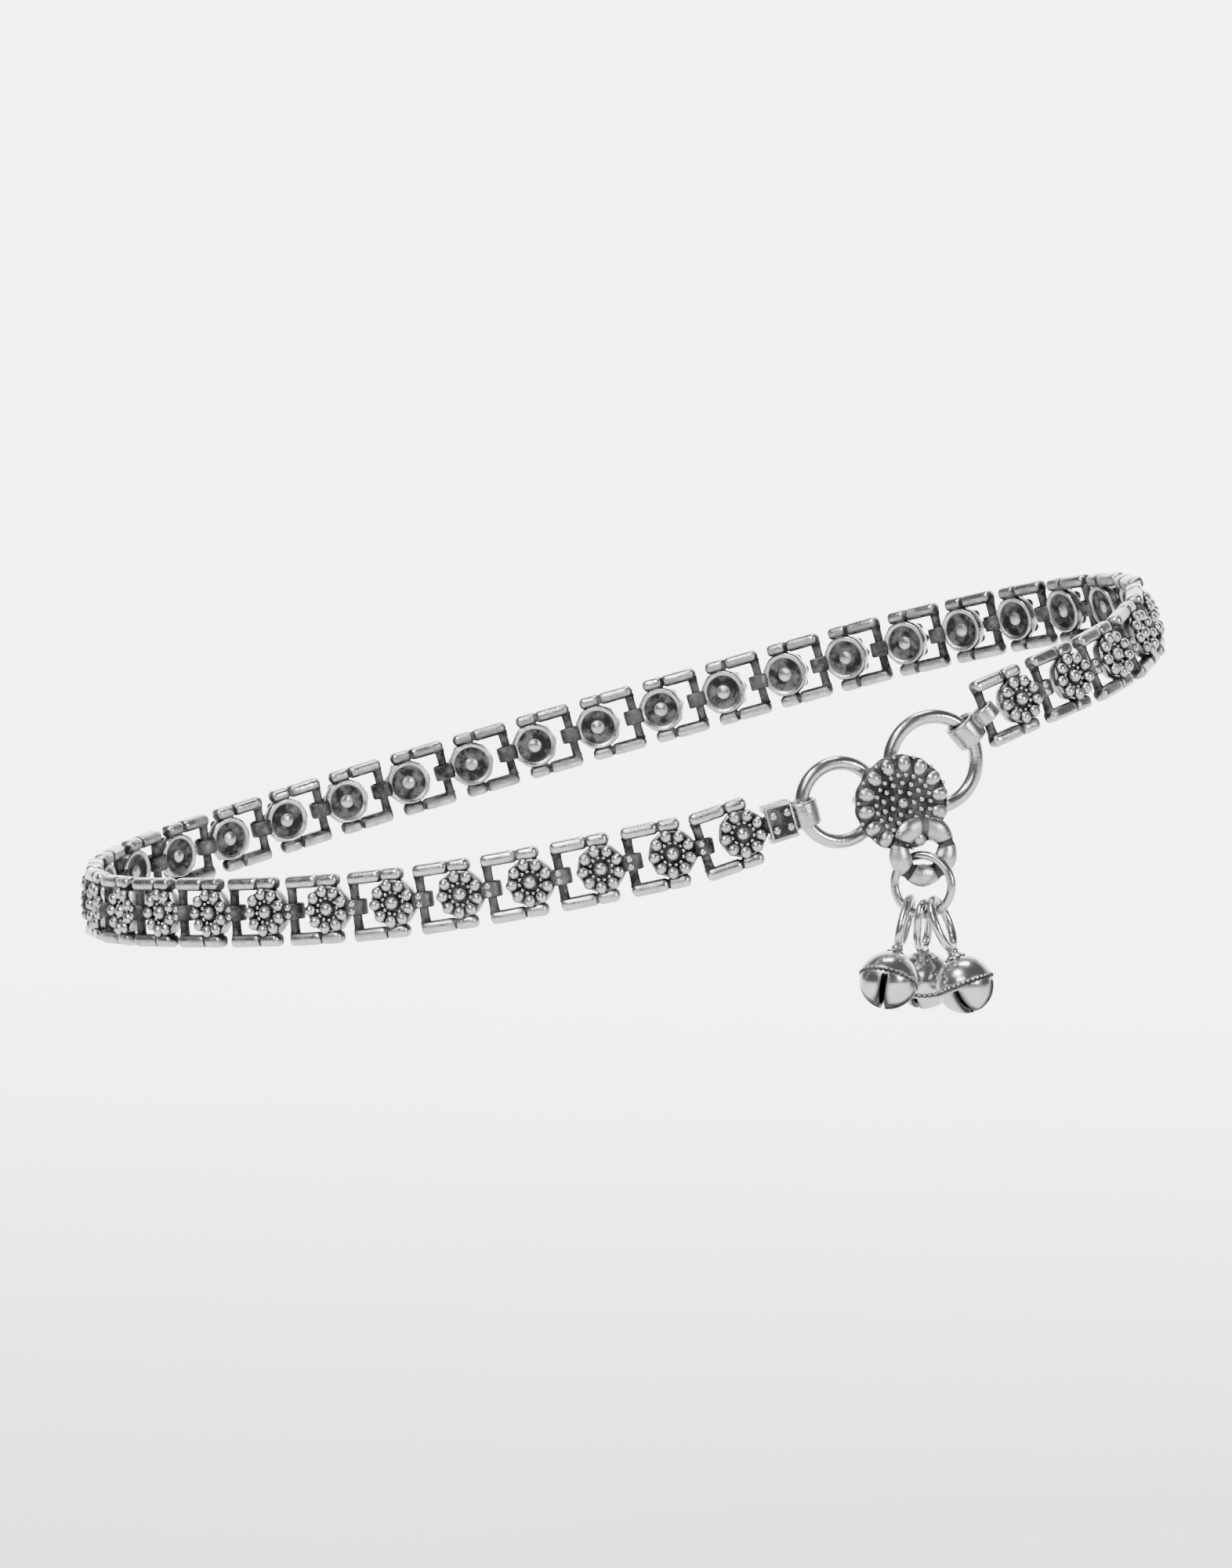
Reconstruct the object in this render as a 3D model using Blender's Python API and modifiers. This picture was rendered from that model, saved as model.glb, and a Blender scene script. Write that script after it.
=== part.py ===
"""Payal anklet: a closed band of hooked flower plaques, a beaded clasp with a hanging cluster of bells.

Lengths below are in millimetres and angles in degrees. +X is the front of the ankle, +Z is up and the
clasp is on the -Y side. The origin is the middle of the ankle opening.
"""

import math

import bmesh
import bpy
from mathutils import Matrix, Vector

MM = 0.001

# The loop seen from above is an ellipse. LIFTS raises it, as shares of LOOP_RISE: (angle from +X, share).
LOOP_LENGTH = 102.8
LOOP_WIDTH = 68.0
LOOP_RISE = 14.6
LIFTS = [
    (8.0, 1.0),
    (35.0, 0.93),
    (62.0, 0.63),
    (90.0, 0.15),
    (118.0, -0.33),
    (145.0, -0.7),
    (172.0, -0.9),
    (200.0, -0.96),
    (228.0, -0.885),
    (247.0, -0.79),
    (261.0, -0.66),
    (275.0, -0.486),
    (288.0, -0.3),
    (304.0, 0.11),
    (319.0, 0.473),
    (338.0, 0.72),
    (350.0, 0.842),
]
LINKS = 38
START_ANGLE = 317.5
FRONT_LEAN = 0.45

# Wire, play, how far joined pieces run into each other, and the distance within which points are one
PIN_RADIUS = 0.45
PIN_PLAY = 0.38
JOINT_GAP = 0.34
TUBE_WALL = 0.4
TUBE_HALF_HEIGHT = 0.75
SINK = 0.3
CUT_PAST = 1.0
WELD = 0.00005

# Band link
RAIL_INNER = 2.05
RAIL_OUTER = 3.3
RAIL_HALF_DEPTH = 0.8
RAIL_BEVEL = 0.35
RAIL_START = -0.5
RAIL_SHARE = 0.76
FLOWER_SHARE = 0.58
FLOWER_RADIUS_SHARE = 0.342
FLOWER_BACK = -0.5
FLOWER_FACE = 0.55
FLOWER_CREST = 1.05
FLOWER_VALLEY = 0.75
FLOWER_DOME = 1.3

# Clasp, laid out on its own plane: first number along the band, second up, level outward
DISC_RADIUS = 4.6
DISC_THICK = 1.05
DISC_CREST = 0.6
DISC_DOME = 0.75
DISC_FIELD = -0.1
DISC_BEADS = 14
DISC_NOTCH = 0.955
RING_WIRE = 0.68
RING_LEFT_RADIUS = 3.65
RING_RIGHT_RADIUS = 4.25
SEAT_LEFT = 1.85
SEAT_RIGHT = 0.85
SEAT_RIGHT_ANGLE = 45.0
HOOK_RADIUS = 0.45
HOOK_MIDDLE_RADIUS = 0.3
HOOK_SAG = 0.7
EYE_ANGLE = -66.0
EYE_PAST = 0.25
EYE_RADIUS = 2.3
EYE_WIDTH = 0.98
EYE_THICK = 0.62
EYE_LUMPS = 5
EYE_SWELL = 0.12
EYE_RISE = 0.2

# End caps
STRAP_WALL = 0.42
STRAP_PLAY = 0.42
STRAP_WIDTH = 2.4
CAP_BLOCK = 0.1
CAP_EAR = 0.75
CAP_HALF_DEPTH = 0.95
CAP_EAR_HALF_DEPTH = 0.62
CAP_LEFT_ANGLE = 196.0
CAP_RIGHT_ANGLE = 41.0

# Hanging cluster
DROP_WIRE = 0.43
DROP_HALF_WIDTH = 2.85
DROP_HALF_HEIGHT = 2.75
DROP_YAW = 42.0
BELL_RADIUS = 2.72
BELL_WALL = 0.4
BELL_SLIT = 0.55
SHANK_WIRE = 0.35
SHANK_HALF_WIDTH = 1.5
SHANK_HALF_HEIGHT = 2.4
SHANK_NECK = 0.5
SHANK_NECK_RADIUS = 0.6
SHANK_SPREAD = 31.0
BELL_AIMS = {
    "bell_left": (-1.0, (-2.8, -6.4, 2.5)),
    "bell_right": (1.0, (2.0, -6.4, 1.7)),
    "bell_back": (0.0, (1.2, -6.4, -3.0)),
}


def toward(angle, reach):
    """A point of the clasp's layout at an angle and a reach from its middle."""
    return (reach * math.cos(math.radians(angle)), reach * math.sin(math.radians(angle)))


# Sizes that follow from the ones above
PIN_HOLE = PIN_RADIUS + PIN_PLAY
HOOK_CLEAR = PIN_HOLE + TUBE_WALL + JOINT_GAP
STRAP_INNER = RING_WIRE + STRAP_PLAY
STRAP_OUTER = STRAP_INNER + STRAP_WALL
CAP_LEFT_REACH = HOOK_CLEAR + CAP_BLOCK + STRAP_OUTER
CAP_RIGHT_REACH = PIN_HOLE + TUBE_WALL + STRAP_OUTER - SINK
CAP_HALF_HEIGHT = TUBE_HALF_HEIGHT + JOINT_GAP + CAP_EAR
RING_LEFT_CENTRE = (-(SEAT_LEFT + RING_LEFT_RADIUS), 0.0)
RING_RIGHT_CENTRE = toward(SEAT_RIGHT_ANGLE, SEAT_RIGHT + RING_RIGHT_RADIUS)
HOOK_CLEARANCE = RING_WIRE + JOINT_GAP
DISC_BACK = HOOK_CLEARANCE
DISC_FACE = DISC_BACK + DISC_THICK
HOOK_DEPTH = -(HOOK_CLEARANCE + HOOK_RADIUS + HOOK_RADIUS / 4)
POST_DEPTH = HOOK_DEPTH - HOOK_RADIUS / 3
POST_LEFT = (-(SEAT_LEFT + HOOK_CLEARANCE + HOOK_RADIUS), 0.0)
POST_MIDDLE = (-(SEAT_LEFT - HOOK_CLEARANCE - HOOK_MIDDLE_RADIUS), -HOOK_SAG)
POST_TIP = toward(SEAT_RIGHT_ANGLE, SEAT_RIGHT + HOOK_CLEARANCE + HOOK_RADIUS)
EYE_CENTRE = toward(EYE_ANGLE, DISC_RADIUS + EYE_PAST)
EYE_LEVEL = DISC_FACE + EYE_RISE
EYE_HOLE = EYE_RADIUS - EYE_WIDTH * (1 + EYE_SWELL)


def end_point(centre, radius, angle, reach):
    """Where a cap's chain end lies: reach past the ring's wire."""
    across, up = toward(angle, radius + reach)
    return (centre[0] + across, centre[1] + up)


END_LEFT = end_point(RING_LEFT_CENTRE, RING_LEFT_RADIUS, CAP_LEFT_ANGLE, CAP_LEFT_REACH)
END_RIGHT = end_point(RING_RIGHT_CENTRE, RING_RIGHT_RADIUS, CAP_RIGHT_ANGLE, CAP_RIGHT_REACH)


def clear_scene():
    for obj in list(bpy.data.objects):
        bpy.data.objects.remove(obj)


def metal(name, colour, roughness):
    made = bpy.data.materials.new(name)
    made.use_nodes = True
    shader = made.node_tree.nodes["Principled BSDF"]
    shader.inputs["Base Color"].default_value = (*colour, 1.0)
    shader.inputs["Metallic"].default_value = 1.0
    shader.inputs["Roughness"].default_value = roughness
    return made


def frame(origin, along, up):
    """A frame with x along, z as near to up as it can be, and y the third direction."""
    x = Vector(along).normalized()
    z = (Vector(up) - x * x.dot(Vector(up))).normalized()
    y = z.cross(x)
    made = Matrix((x, y, z)).transposed().to_4x4()
    made.translation = Vector(origin)
    return made


def in_metres(matrix):
    scaled = matrix.copy()
    scaled.translation = matrix.translation * MM
    return scaled


def solid(name, work, at=None):
    """An object from a bmesh in millimetres, moved by a frame, its mesh in metres."""
    if at is not None:
        bmesh.ops.transform(work, matrix=at, verts=work.verts)
    bmesh.ops.scale(work, vec=(MM, MM, MM), verts=work.verts)
    mesh = bpy.data.meshes.new(name)
    work.to_mesh(mesh)
    work.free()
    obj = bpy.data.objects.new(name, mesh)
    bpy.context.scene.collection.objects.link(obj)
    return obj


def made_mesh(obj):
    """The evaluated shape of a curve or of an object with modifiers, as a closed bmesh; the object goes."""
    bpy.context.scene.collection.objects.link(obj)
    graph = bpy.context.evaluated_depsgraph_get()
    mesh = bpy.data.meshes.new_from_object(obj.evaluated_get(graph))
    work = bmesh.new()
    work.from_mesh(mesh)
    bmesh.ops.remove_doubles(work, verts=work.verts, dist=WELD)
    bmesh.ops.recalc_face_normals(work, faces=work.faces)
    bpy.data.meshes.remove(mesh)
    bpy.data.objects.remove(obj)
    return work


def joined(name, first, others, operation="UNION"):
    """First with each of the others joined to it or cut from it, as a plain mesh."""
    for other in others:
        step = first.modifiers.new("step", "BOOLEAN")
        step.operation = operation
        step.solver = "EXACT"
        step.object = other
    graph = bpy.context.evaluated_depsgraph_get()
    mesh = bpy.data.meshes.new_from_object(first.evaluated_get(graph))
    mesh.name = name
    result = bpy.data.objects.new(name, mesh)
    bpy.context.scene.collection.objects.link(result)
    bpy.data.objects.remove(first)
    for other in others:
        bpy.data.objects.remove(other)
    return result


def box(name, low, high, at=None):
    work = bmesh.new()
    bmesh.ops.create_cube(work, size=1.0)
    bmesh.ops.scale(work, vec=Vector(high) - Vector(low), verts=work.verts)
    bmesh.ops.translate(work, vec=(Vector(low) + Vector(high)) / 2, verts=work.verts)
    return solid(name, work, at)


def bar(name, radius, low, high, sides, at=None):
    """A round bar along z from low to high."""
    work = bmesh.new()
    bmesh.ops.create_cone(
        work, cap_ends=True, segments=sides, radius1=radius, radius2=radius, depth=high - low
    )
    bmesh.ops.translate(work, vec=(0, 0, (low + high) / 2), verts=work.verts)
    return solid(name, work, at)


def rod(name, start, end, radius, past=SINK):
    """A round bar from start to end, run a little past both."""
    along = end - start
    return bar(name, radius, -past, along.length + past, 8, frame(start, along.orthogonal(), along))


def ball(name, radius, sides, rows, at=None):
    work = bmesh.new()
    bmesh.ops.create_uvsphere(work, u_segments=sides, v_segments=rows, radius=radius)
    return solid(name, work, at)


def turned(name, profile, sides, ring=False):
    """A profile of (radius, height) points screwed round z; a ring's profile is a loop off the axis."""
    work = bmesh.new()
    knots = [work.verts.new((radius, 0, height)) for radius, height in profile]
    for one, two in zip(knots, knots[1:]):
        work.edges.new((one, two))
    if ring:
        work.edges.new((knots[-1], knots[0]))
    mesh = bpy.data.meshes.new(name)
    work.to_mesh(mesh)
    work.free()
    obj = bpy.data.objects.new(name, mesh)
    screw = obj.modifiers.new("turn", "SCREW")
    screw.steps = sides
    screw.render_steps = sides
    screw.use_merge_vertices = True
    screw.merge_threshold = WELD
    return made_mesh(obj)


def tube(name, inner, outer, half_height, sides, at=None):
    """A short tube about z."""
    profile = [(inner, half_height), (outer, half_height), (outer, -half_height), (inner, -half_height)]
    return solid(name, turned(name, profile, sides, ring=True), at)


def wire_loop(name, half_width, half_height, steps, radius, swell=None):
    """A closed round wire along an oval on x and z, swollen at each step by a share of its radius."""
    curve = bpy.data.curves.new(name, "CURVE")
    curve.dimensions = "3D"
    curve.bevel_depth = radius
    curve.bevel_resolution = 2 if swell else 1
    spline = curve.splines.new("POLY")
    spline.points.add(steps - 1)
    for i, knot in enumerate(spline.points):
        turn = 2 * math.pi * i / steps
        knot.co = (half_width * math.cos(turn), 0.0, half_height * math.sin(turn), 1.0)
        knot.radius = swell[i] if swell else 1.0
    spline.use_cyclic_u = True
    return made_mesh(bpy.data.objects.new(name, curve))


def height_at(turn):
    """Height of the loop at an angle, by a smooth curve through LIFTS."""
    knots = [(angle + lap, LOOP_RISE * share) for lap in (-360.0, 0.0, 360.0) for angle, share in LIFTS]
    turn = turn % 360.0
    i = max(k for k in range(len(knots)) if knots[k][0] <= turn)
    (a0, h0), (a1, h1), (a2, h2), (a3, h3) = knots[i - 1 : i + 3]
    step = a2 - a1
    share = (turn - a1) / step
    rise_one = (h2 - h0) / (a2 - a0) * step
    rise_two = (h3 - h1) / (a3 - a1) * step
    return (
        h1 * (2 * share**3 - 3 * share**2 + 1)
        + rise_one * (share**3 - 2 * share**2 + share)
        + h2 * (3 * share**2 - 2 * share**3)
        + rise_two * (share**3 - share**2)
    )


def route_point(turn):
    around = math.radians(turn)
    return Vector((LOOP_LENGTH / 2 * math.cos(around), LOOP_WIDTH / 2 * math.sin(around), height_at(turn)))


def outward_at(turn):
    around = math.radians(turn)
    return Vector((LOOP_WIDTH * math.cos(around), LOOP_LENGTH * math.sin(around), 0.0)).normalized()


def stations(pitch):
    """Angles of the crossbars: LINKS equal chords from START_ANGLE round the loop."""
    angles = [START_ANGLE]
    for _ in range(LINKS):
        here = route_point(angles[-1])
        low = angles[-1] + 1.0
        high = angles[-1] + 25.0
        for _ in range(40):
            middle = (low + high) / 2
            if (route_point(middle) - here).length < pitch:
                low = middle
            else:
                high = middle
        angles.append((low + high) / 2)
    return angles


def solve_pitch(chord):
    """The pitch that leaves exactly the clasp's chord between the last crossbar and the first."""
    low = (LOOP_LENGTH + LOOP_WIDTH) / LINKS
    high = 2 * low
    for _ in range(40):
        middle = (low + high) / 2
        angles = stations(middle)
        left = START_ANGLE + 360.0 - angles[-1]
        gap = (route_point(angles[-1]) - route_point(START_ANGLE)).length
        if left > 0 and gap > chord:
            low = middle
        else:
            high = middle
    return (low + high) / 2


def link_frame(here, there, turn):
    """A link's frame: x from its crossbar to the next one, z up the link, y inward."""
    along = (there - here).normalized()
    out = outward_at(turn)
    lean = FRONT_LEAN * max(0.0, out.x) ** 2
    out = out + Vector((0.0, 0.0, lean))
    return frame(here, along, out.cross(along))


def make_rail(side, end):
    """A rail from its start to its end, its two long outer edges bevelled."""
    inner, outer = sorted((side * RAIL_INNER, side * RAIL_OUTER))
    low = Vector((RAIL_START, -RAIL_HALF_DEPTH, inner))
    high = Vector((end, RAIL_HALF_DEPTH, outer))
    work = bmesh.new()
    bmesh.ops.create_cube(work, size=1.0)
    far = [v for v in work.verts if v.co.z * side > 0]
    along = [e for e in work.edges if e.verts[0].co.yz == e.verts[1].co.yz]
    edges = [e for e in along if e.verts[0] in far]
    bmesh.ops.scale(work, vec=high - low, verts=work.verts)
    bmesh.ops.translate(work, vec=(low + high) / 2, verts=work.verts)
    bmesh.ops.bevel(work, geom=edges, offset=RAIL_BEVEL, segments=1, affect="EDGES")
    return solid("rail", work)


def make_link(pitch):
    """One band link in its own frame, its crossbar on the local z axis."""
    radius = FLOWER_RADIUS_SHARE * pitch
    profile = [
        (0, FLOWER_DOME),
        (radius * 0.42, FLOWER_VALLEY),
        (radius * 0.74, FLOWER_CREST),
        (radius, FLOWER_FACE),
        (radius, FLOWER_BACK),
        (0, FLOWER_BACK),
    ]
    seat = frame((FLOWER_SHARE * pitch, 0, 0), (1, 0, 0), (0, -1, 0))
    flower = solid("flower", turned("flower", profile, 12), seat)
    rails = [make_rail(side, RAIL_SHARE * pitch) for side in (-1, 1)]
    middle = (RAIL_INNER + RAIL_OUTER) / 2
    pin = bar("pin", PIN_RADIUS, -middle, middle, 6)
    next_pin = Matrix.Translation((pitch, 0, 0))
    hook = tube("hook", PIN_HOLE, PIN_HOLE + TUBE_WALL, TUBE_HALF_HEIGHT, 8, next_pin)
    link = joined("link", flower, [*rails, pin, hook])
    bore = bar("bore", PIN_HOLE, -RAIL_INNER, RAIL_INNER, 8, next_pin)
    return joined("band_link", link, [bore], "DIFFERENCE")


def make_ring(name, centre, radius, steps):
    return solid(name, wire_loop(name, radius, radius, steps, RING_WIRE), Matrix.Translation(flat(centre, 0)))


def flat(point, level):
    """A point of the clasp's layout in its frame: x along, z up, y inward, level outward."""
    return Vector((point[0], -level, point[1]))


def post(name, point, radius, low, high):
    """A round bar of the back hook that runs across the clasp's plane."""
    return bar(name, radius, low, high, 8, frame(flat(point, 0), (1, 0, 0), (0, -1, 0)))


def make_disc():
    """The beaded disc, its rim drawn in between the beads."""
    profile = [
        (0, DISC_FACE + DISC_DOME),
        (0.17 * DISC_RADIUS, DISC_FACE + DISC_DOME / 2),
        (0.24 * DISC_RADIUS, DISC_FACE + DISC_FIELD),
        (0.52 * DISC_RADIUS, DISC_FACE + DISC_FIELD),
        (0.6 * DISC_RADIUS, DISC_FACE + DISC_CREST / 2),
        (0.8 * DISC_RADIUS, DISC_FACE + DISC_CREST),
        (DISC_RADIUS, DISC_FACE),
        (DISC_RADIUS, DISC_BACK),
        (0, DISC_BACK),
    ]
    work = turned("disc", profile, 2 * DISC_BEADS)
    for vert in work.verts:
        step = round(math.atan2(vert.co.y, vert.co.x) / (math.pi / DISC_BEADS))
        if step % 2 == 1 and vert.co.to_2d().length > DISC_NOTCH * DISC_RADIUS:
            vert.co.x *= DISC_NOTCH
            vert.co.y *= DISC_NOTCH
    return solid("disc", work, frame((0, 0, 0), (1, 0, 0), (0, -1, 0)))


def make_eye():
    """The lumpy eye, a lump at its foot, flattened across the clasp's plane."""
    steps = 4 * EYE_LUMPS
    swell = [1 + EYE_SWELL * math.cos(2 * math.pi * EYE_LUMPS * (i / steps + 1 / 4)) for i in range(steps)]
    work = wire_loop("eye", EYE_RADIUS, EYE_RADIUS, steps, EYE_WIDTH, swell)
    bmesh.ops.scale(work, vec=(1.0, EYE_THICK / EYE_WIDTH, 1.0), verts=work.verts)
    return solid("eye", work, Matrix.Translation(flat(EYE_CENTRE, EYE_LEVEL)))


def make_clasp():
    """Disc, eye and back hook in the clasp's frame."""
    past = DISC_FACE + DISC_DOME + CUT_PAST
    bore = post("bore", EYE_CENTRE, EYE_HOLE, DISC_BACK - CUT_PAST, past)
    disc = joined("disc", make_disc(), [bore], "DIFFERENCE")
    top = (DISC_BACK + DISC_FACE) / 2
    hook = [
        post("first", POST_LEFT, HOOK_RADIUS, POST_DEPTH, top),
        post("second", POST_MIDDLE, HOOK_MIDDLE_RADIUS, POST_DEPTH, top),
        post("tip", POST_TIP, HOOK_RADIUS, POST_DEPTH, DISC_BACK - JOINT_GAP),
        rod("run_one", flat(POST_LEFT, HOOK_DEPTH), flat(POST_MIDDLE, HOOK_DEPTH), HOOK_RADIUS),
        rod("run_two", flat(POST_MIDDLE, HOOK_DEPTH), flat(POST_TIP, HOOK_DEPTH), HOOK_RADIUS),
    ]
    return joined("clasp_rosette", disc, [make_eye(), *hook])


def make_cap(name, reach, tangent, with_hook):
    """An end cap in its own frame: chain end at the origin, strap round the ring's wire at reach along x."""
    strap_at = frame((reach, 0, 0), (1, 0, 0), tangent)
    strap = tube("strap", STRAP_INNER, STRAP_OUTER, STRAP_WIDTH / 2, 10, strap_at)
    strap_face = reach - STRAP_INNER - STRAP_WALL / 2
    if with_hook:
        hook = tube("hook", PIN_HOLE, PIN_HOLE + TUBE_WALL, TUBE_HALF_HEIGHT, 8)
        low = (PIN_HOLE + TUBE_WALL / 2, -CAP_EAR_HALF_DEPTH, -TUBE_HALF_HEIGHT)
        neck = box("neck", low, (strap_face, CAP_EAR_HALF_DEPTH, TUBE_HALF_HEIGHT))
        return joined(name, strap, [hook, neck])
    low = (HOOK_CLEAR, -CAP_HALF_DEPTH, -CAP_HALF_HEIGHT)
    pieces = [box("block", low, (strap_face, CAP_HALF_DEPTH, CAP_HALF_HEIGHT))]
    for side in (-1, 1):
        inner, outer = sorted((side * (TUBE_HALF_HEIGHT + JOINT_GAP), side * CAP_HALF_HEIGHT))
        low = (-PIN_RADIUS - SINK / 2, -CAP_EAR_HALF_DEPTH, inner)
        pieces.append(box("ear", low, (HOOK_CLEAR + SINK, CAP_EAR_HALF_DEPTH, outer)))
    pieces.append(bar("pin", PIN_RADIUS, SINK / 2 - CAP_HALF_HEIGHT, CAP_HALF_HEIGHT - SINK / 2, 6))
    return joined(name, strap, pieces)


def make_bell(name):
    """A hollow slit bell under its shank loop, the wire that carries it at the origin."""
    hang = DROP_WIRE + JOINT_GAP + SHANK_WIRE
    loop_at = Matrix.Translation((0, 0, hang - SHANK_HALF_HEIGHT))
    loop = solid("loop", wire_loop("loop", SHANK_HALF_WIDTH, SHANK_HALF_HEIGHT, 14, SHANK_WIRE), loop_at)
    foot = hang - 2 * SHANK_HALF_HEIGHT
    middle = foot - SHANK_WIRE - SHANK_NECK - BELL_RADIUS
    at = Matrix.Translation((0, 0, middle))
    shell = ball("shell", BELL_RADIUS, 14, 8, at)
    cavity = ball("cavity", BELL_RADIUS - BELL_WALL, 12, 6, at)
    past = 2 * BELL_RADIUS
    slit = box("slit", (-past, -BELL_SLIT / 2, -past), (past, BELL_SLIT / 2, -BELL_WALL), at)
    shell = joined("shell", shell, [cavity, slit], "DIFFERENCE")
    neck = bar("neck", SHANK_NECK_RADIUS, middle + BELL_RADIUS - BELL_WALL / 2, foot, 8)
    return joined(name, shell, [neck, loop])


def seated(obj, name, target, silver, at, parent=None):
    """Name the piece, give it its metal and set it in its frame, on its parent where it has one."""
    obj.name = name
    obj.data.name = name
    obj.data.materials.clear()
    obj.data.materials.append(silver)
    obj.parent = parent
    obj.matrix_basis = in_metres(at)
    for held in list(obj.users_collection):
        held.objects.unlink(obj)
    target.objects.link(obj)


def empty(name, target, at):
    """An empty that carries the pieces that move or sit together."""
    made = bpy.data.objects.new(name, None)
    made.matrix_basis = in_metres(at)
    target.objects.link(made)
    return made


def clasp_frame(start, end):
    """The clasp's frame between the last crossbar and the first: x along, z up, y inward."""
    level = Vector((end.x - start.x, end.y - start.y, 0.0))
    slope = math.atan2(end.z - start.z, level.length)
    drawn = math.atan2(END_RIGHT[1] - END_LEFT[1], END_RIGHT[0] - END_LEFT[0])
    made = frame((0, 0, 0), level, (0, 0, 1)) @ Matrix.Rotation(drawn - slope, 4, "Y")
    middle = flat(((END_LEFT[0] + END_RIGHT[0]) / 2, (END_LEFT[1] + END_RIGHT[1]) / 2), 0)
    made.translation = (start + end) / 2 - made.to_3x3() @ middle
    return made


def add_band(anklet, pitch, frames):
    silver = metal("band_silver", (0.62, 0.60, 0.57), 0.42)
    pattern = make_link(pitch)
    pattern.data.materials.append(silver)
    for i, at in enumerate(frames):
        link = bpy.data.objects.new(f"band_link_{i + 1:02d}", pattern.data)
        link.matrix_basis = in_metres(at)
        anklet.objects.link(link)
    bpy.data.objects.remove(pattern)


def add_clasp(anklet, at, frames):
    clasp_silver = metal("clasp_silver", (0.60, 0.58, 0.55), 0.4)
    ring_silver = metal("ring_silver", (0.82, 0.81, 0.79), 0.2)
    holder = empty("clasp_middle", anklet, at)
    seated(make_clasp(), "clasp_rosette", anklet, clasp_silver, Matrix(), holder)
    for name, centre, radius, steps, end, link, with_hook in (
        ("left", RING_LEFT_CENTRE, RING_LEFT_RADIUS, 22, END_LEFT, frames[-1], False),
        ("right", RING_RIGHT_CENTRE, RING_RIGHT_RADIUS, 24, END_RIGHT, frames[0], True),
    ):
        ring = make_ring(f"ring_{name}", centre, radius, steps)
        seated(ring, f"ring_{name}", anklet, ring_silver, Matrix(), holder)
        out = Vector((end[0] - centre[0], end[1] - centre[1])).normalized()
        seat = at @ flat((centre[0] + radius * out.x, centre[1] + radius * out.y), 0)
        far = at @ flat(end, 0)
        cap_at = frame(far, seat - far, link.to_3x3() @ Vector((0, 0, 1)))
        tangent = cap_at.to_3x3().inverted() @ at.to_3x3() @ flat((-out.y, out.x), 0)
        cap = make_cap(f"end_cap_{name}", (seat - far).length, tangent, with_hook)
        seated(cap, f"end_cap_{name}", anklet, clasp_silver, cap_at)


def add_drop(anklet, at, level):
    """The drop link and its bells, carried by an empty where the link's wire crosses the eye."""
    drop_silver = metal("drop_silver", (0.82, 0.81, 0.79), 0.2)
    bell_silver = metal("bell_silver", (0.84, 0.83, 0.81), 0.18)
    out = Vector((level.y, -level.x, 0.0))
    plumb = Vector((0, 0, 1))
    yaw = math.radians(DROP_YAW)
    top_wire = EYE_CENTRE[1] - EYE_HOLE + JOINT_GAP + DROP_WIRE
    pivot_at = frame(
        at @ flat((EYE_CENTRE[0], top_wire), EYE_LEVEL), level * math.cos(yaw) + out * math.sin(yaw), plumb
    )
    pivot = empty("drop_pivot", anklet, pivot_at)
    link_at = Matrix.Translation((0, 0, -DROP_HALF_HEIGHT))
    link = solid("drop_link", wire_loop("drop_link", DROP_HALF_WIDTH, DROP_HALF_HEIGHT, 20, DROP_WIRE))
    seated(link, "drop_link", anklet, drop_silver, link_at, pivot)
    inward = pivot_at.to_3x3().inverted()
    for name, (side, aim) in BELL_AIMS.items():
        turn = math.radians(-90.0 + side * SHANK_SPREAD)
        on_wire = Vector((DROP_HALF_WIDTH * math.cos(turn), 0, DROP_HALF_HEIGHT * math.sin(turn)))
        ahead = Vector((-DROP_HALF_WIDTH * math.sin(turn), 0, DROP_HALF_HEIGHT * math.cos(turn)))
        down = inward @ (level * aim[0] + plumb * aim[1] + out * aim[2]).normalized()
        bell_at = frame(link_at @ on_wire, down.cross(ahead), -down)
        seated(make_bell(name), name, anklet, bell_silver, bell_at, pivot)


def main():
    clear_scene()
    anklet = bpy.data.collections.new("payal_anklet")
    bpy.context.scene.collection.children.link(anklet)
    pitch = solve_pitch(math.dist(END_LEFT, END_RIGHT))
    angles = stations(pitch)
    ends = [route_point(turn) for turn in angles]
    frames = [link_frame(ends[i], ends[i + 1], (angles[i] + angles[i + 1]) / 2) for i in range(LINKS)]
    at = clasp_frame(ends[-1], ends[0])
    level = Vector((ends[0].x - ends[-1].x, ends[0].y - ends[-1].y, 0.0)).normalized()
    add_band(anklet, pitch, frames)
    add_clasp(anklet, at, frames)
    add_drop(anklet, at, level)


main()
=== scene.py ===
"""Looks of the payal anklet: oxidised flower plaques, a beaded rosette clasp and polished bells.

All sizes are in millimetres, and every mesh is brought to metres when it is made. The route, the clasp's
layout and the hanging cluster repeat the sizes of the solids that the pieces stand for.
"""

import logging
import math
from collections.abc import Callable, Sequence
from dataclasses import dataclass, field
from enum import Enum

import bmesh
import bpy
from mathutils import Matrix, Vector

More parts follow.
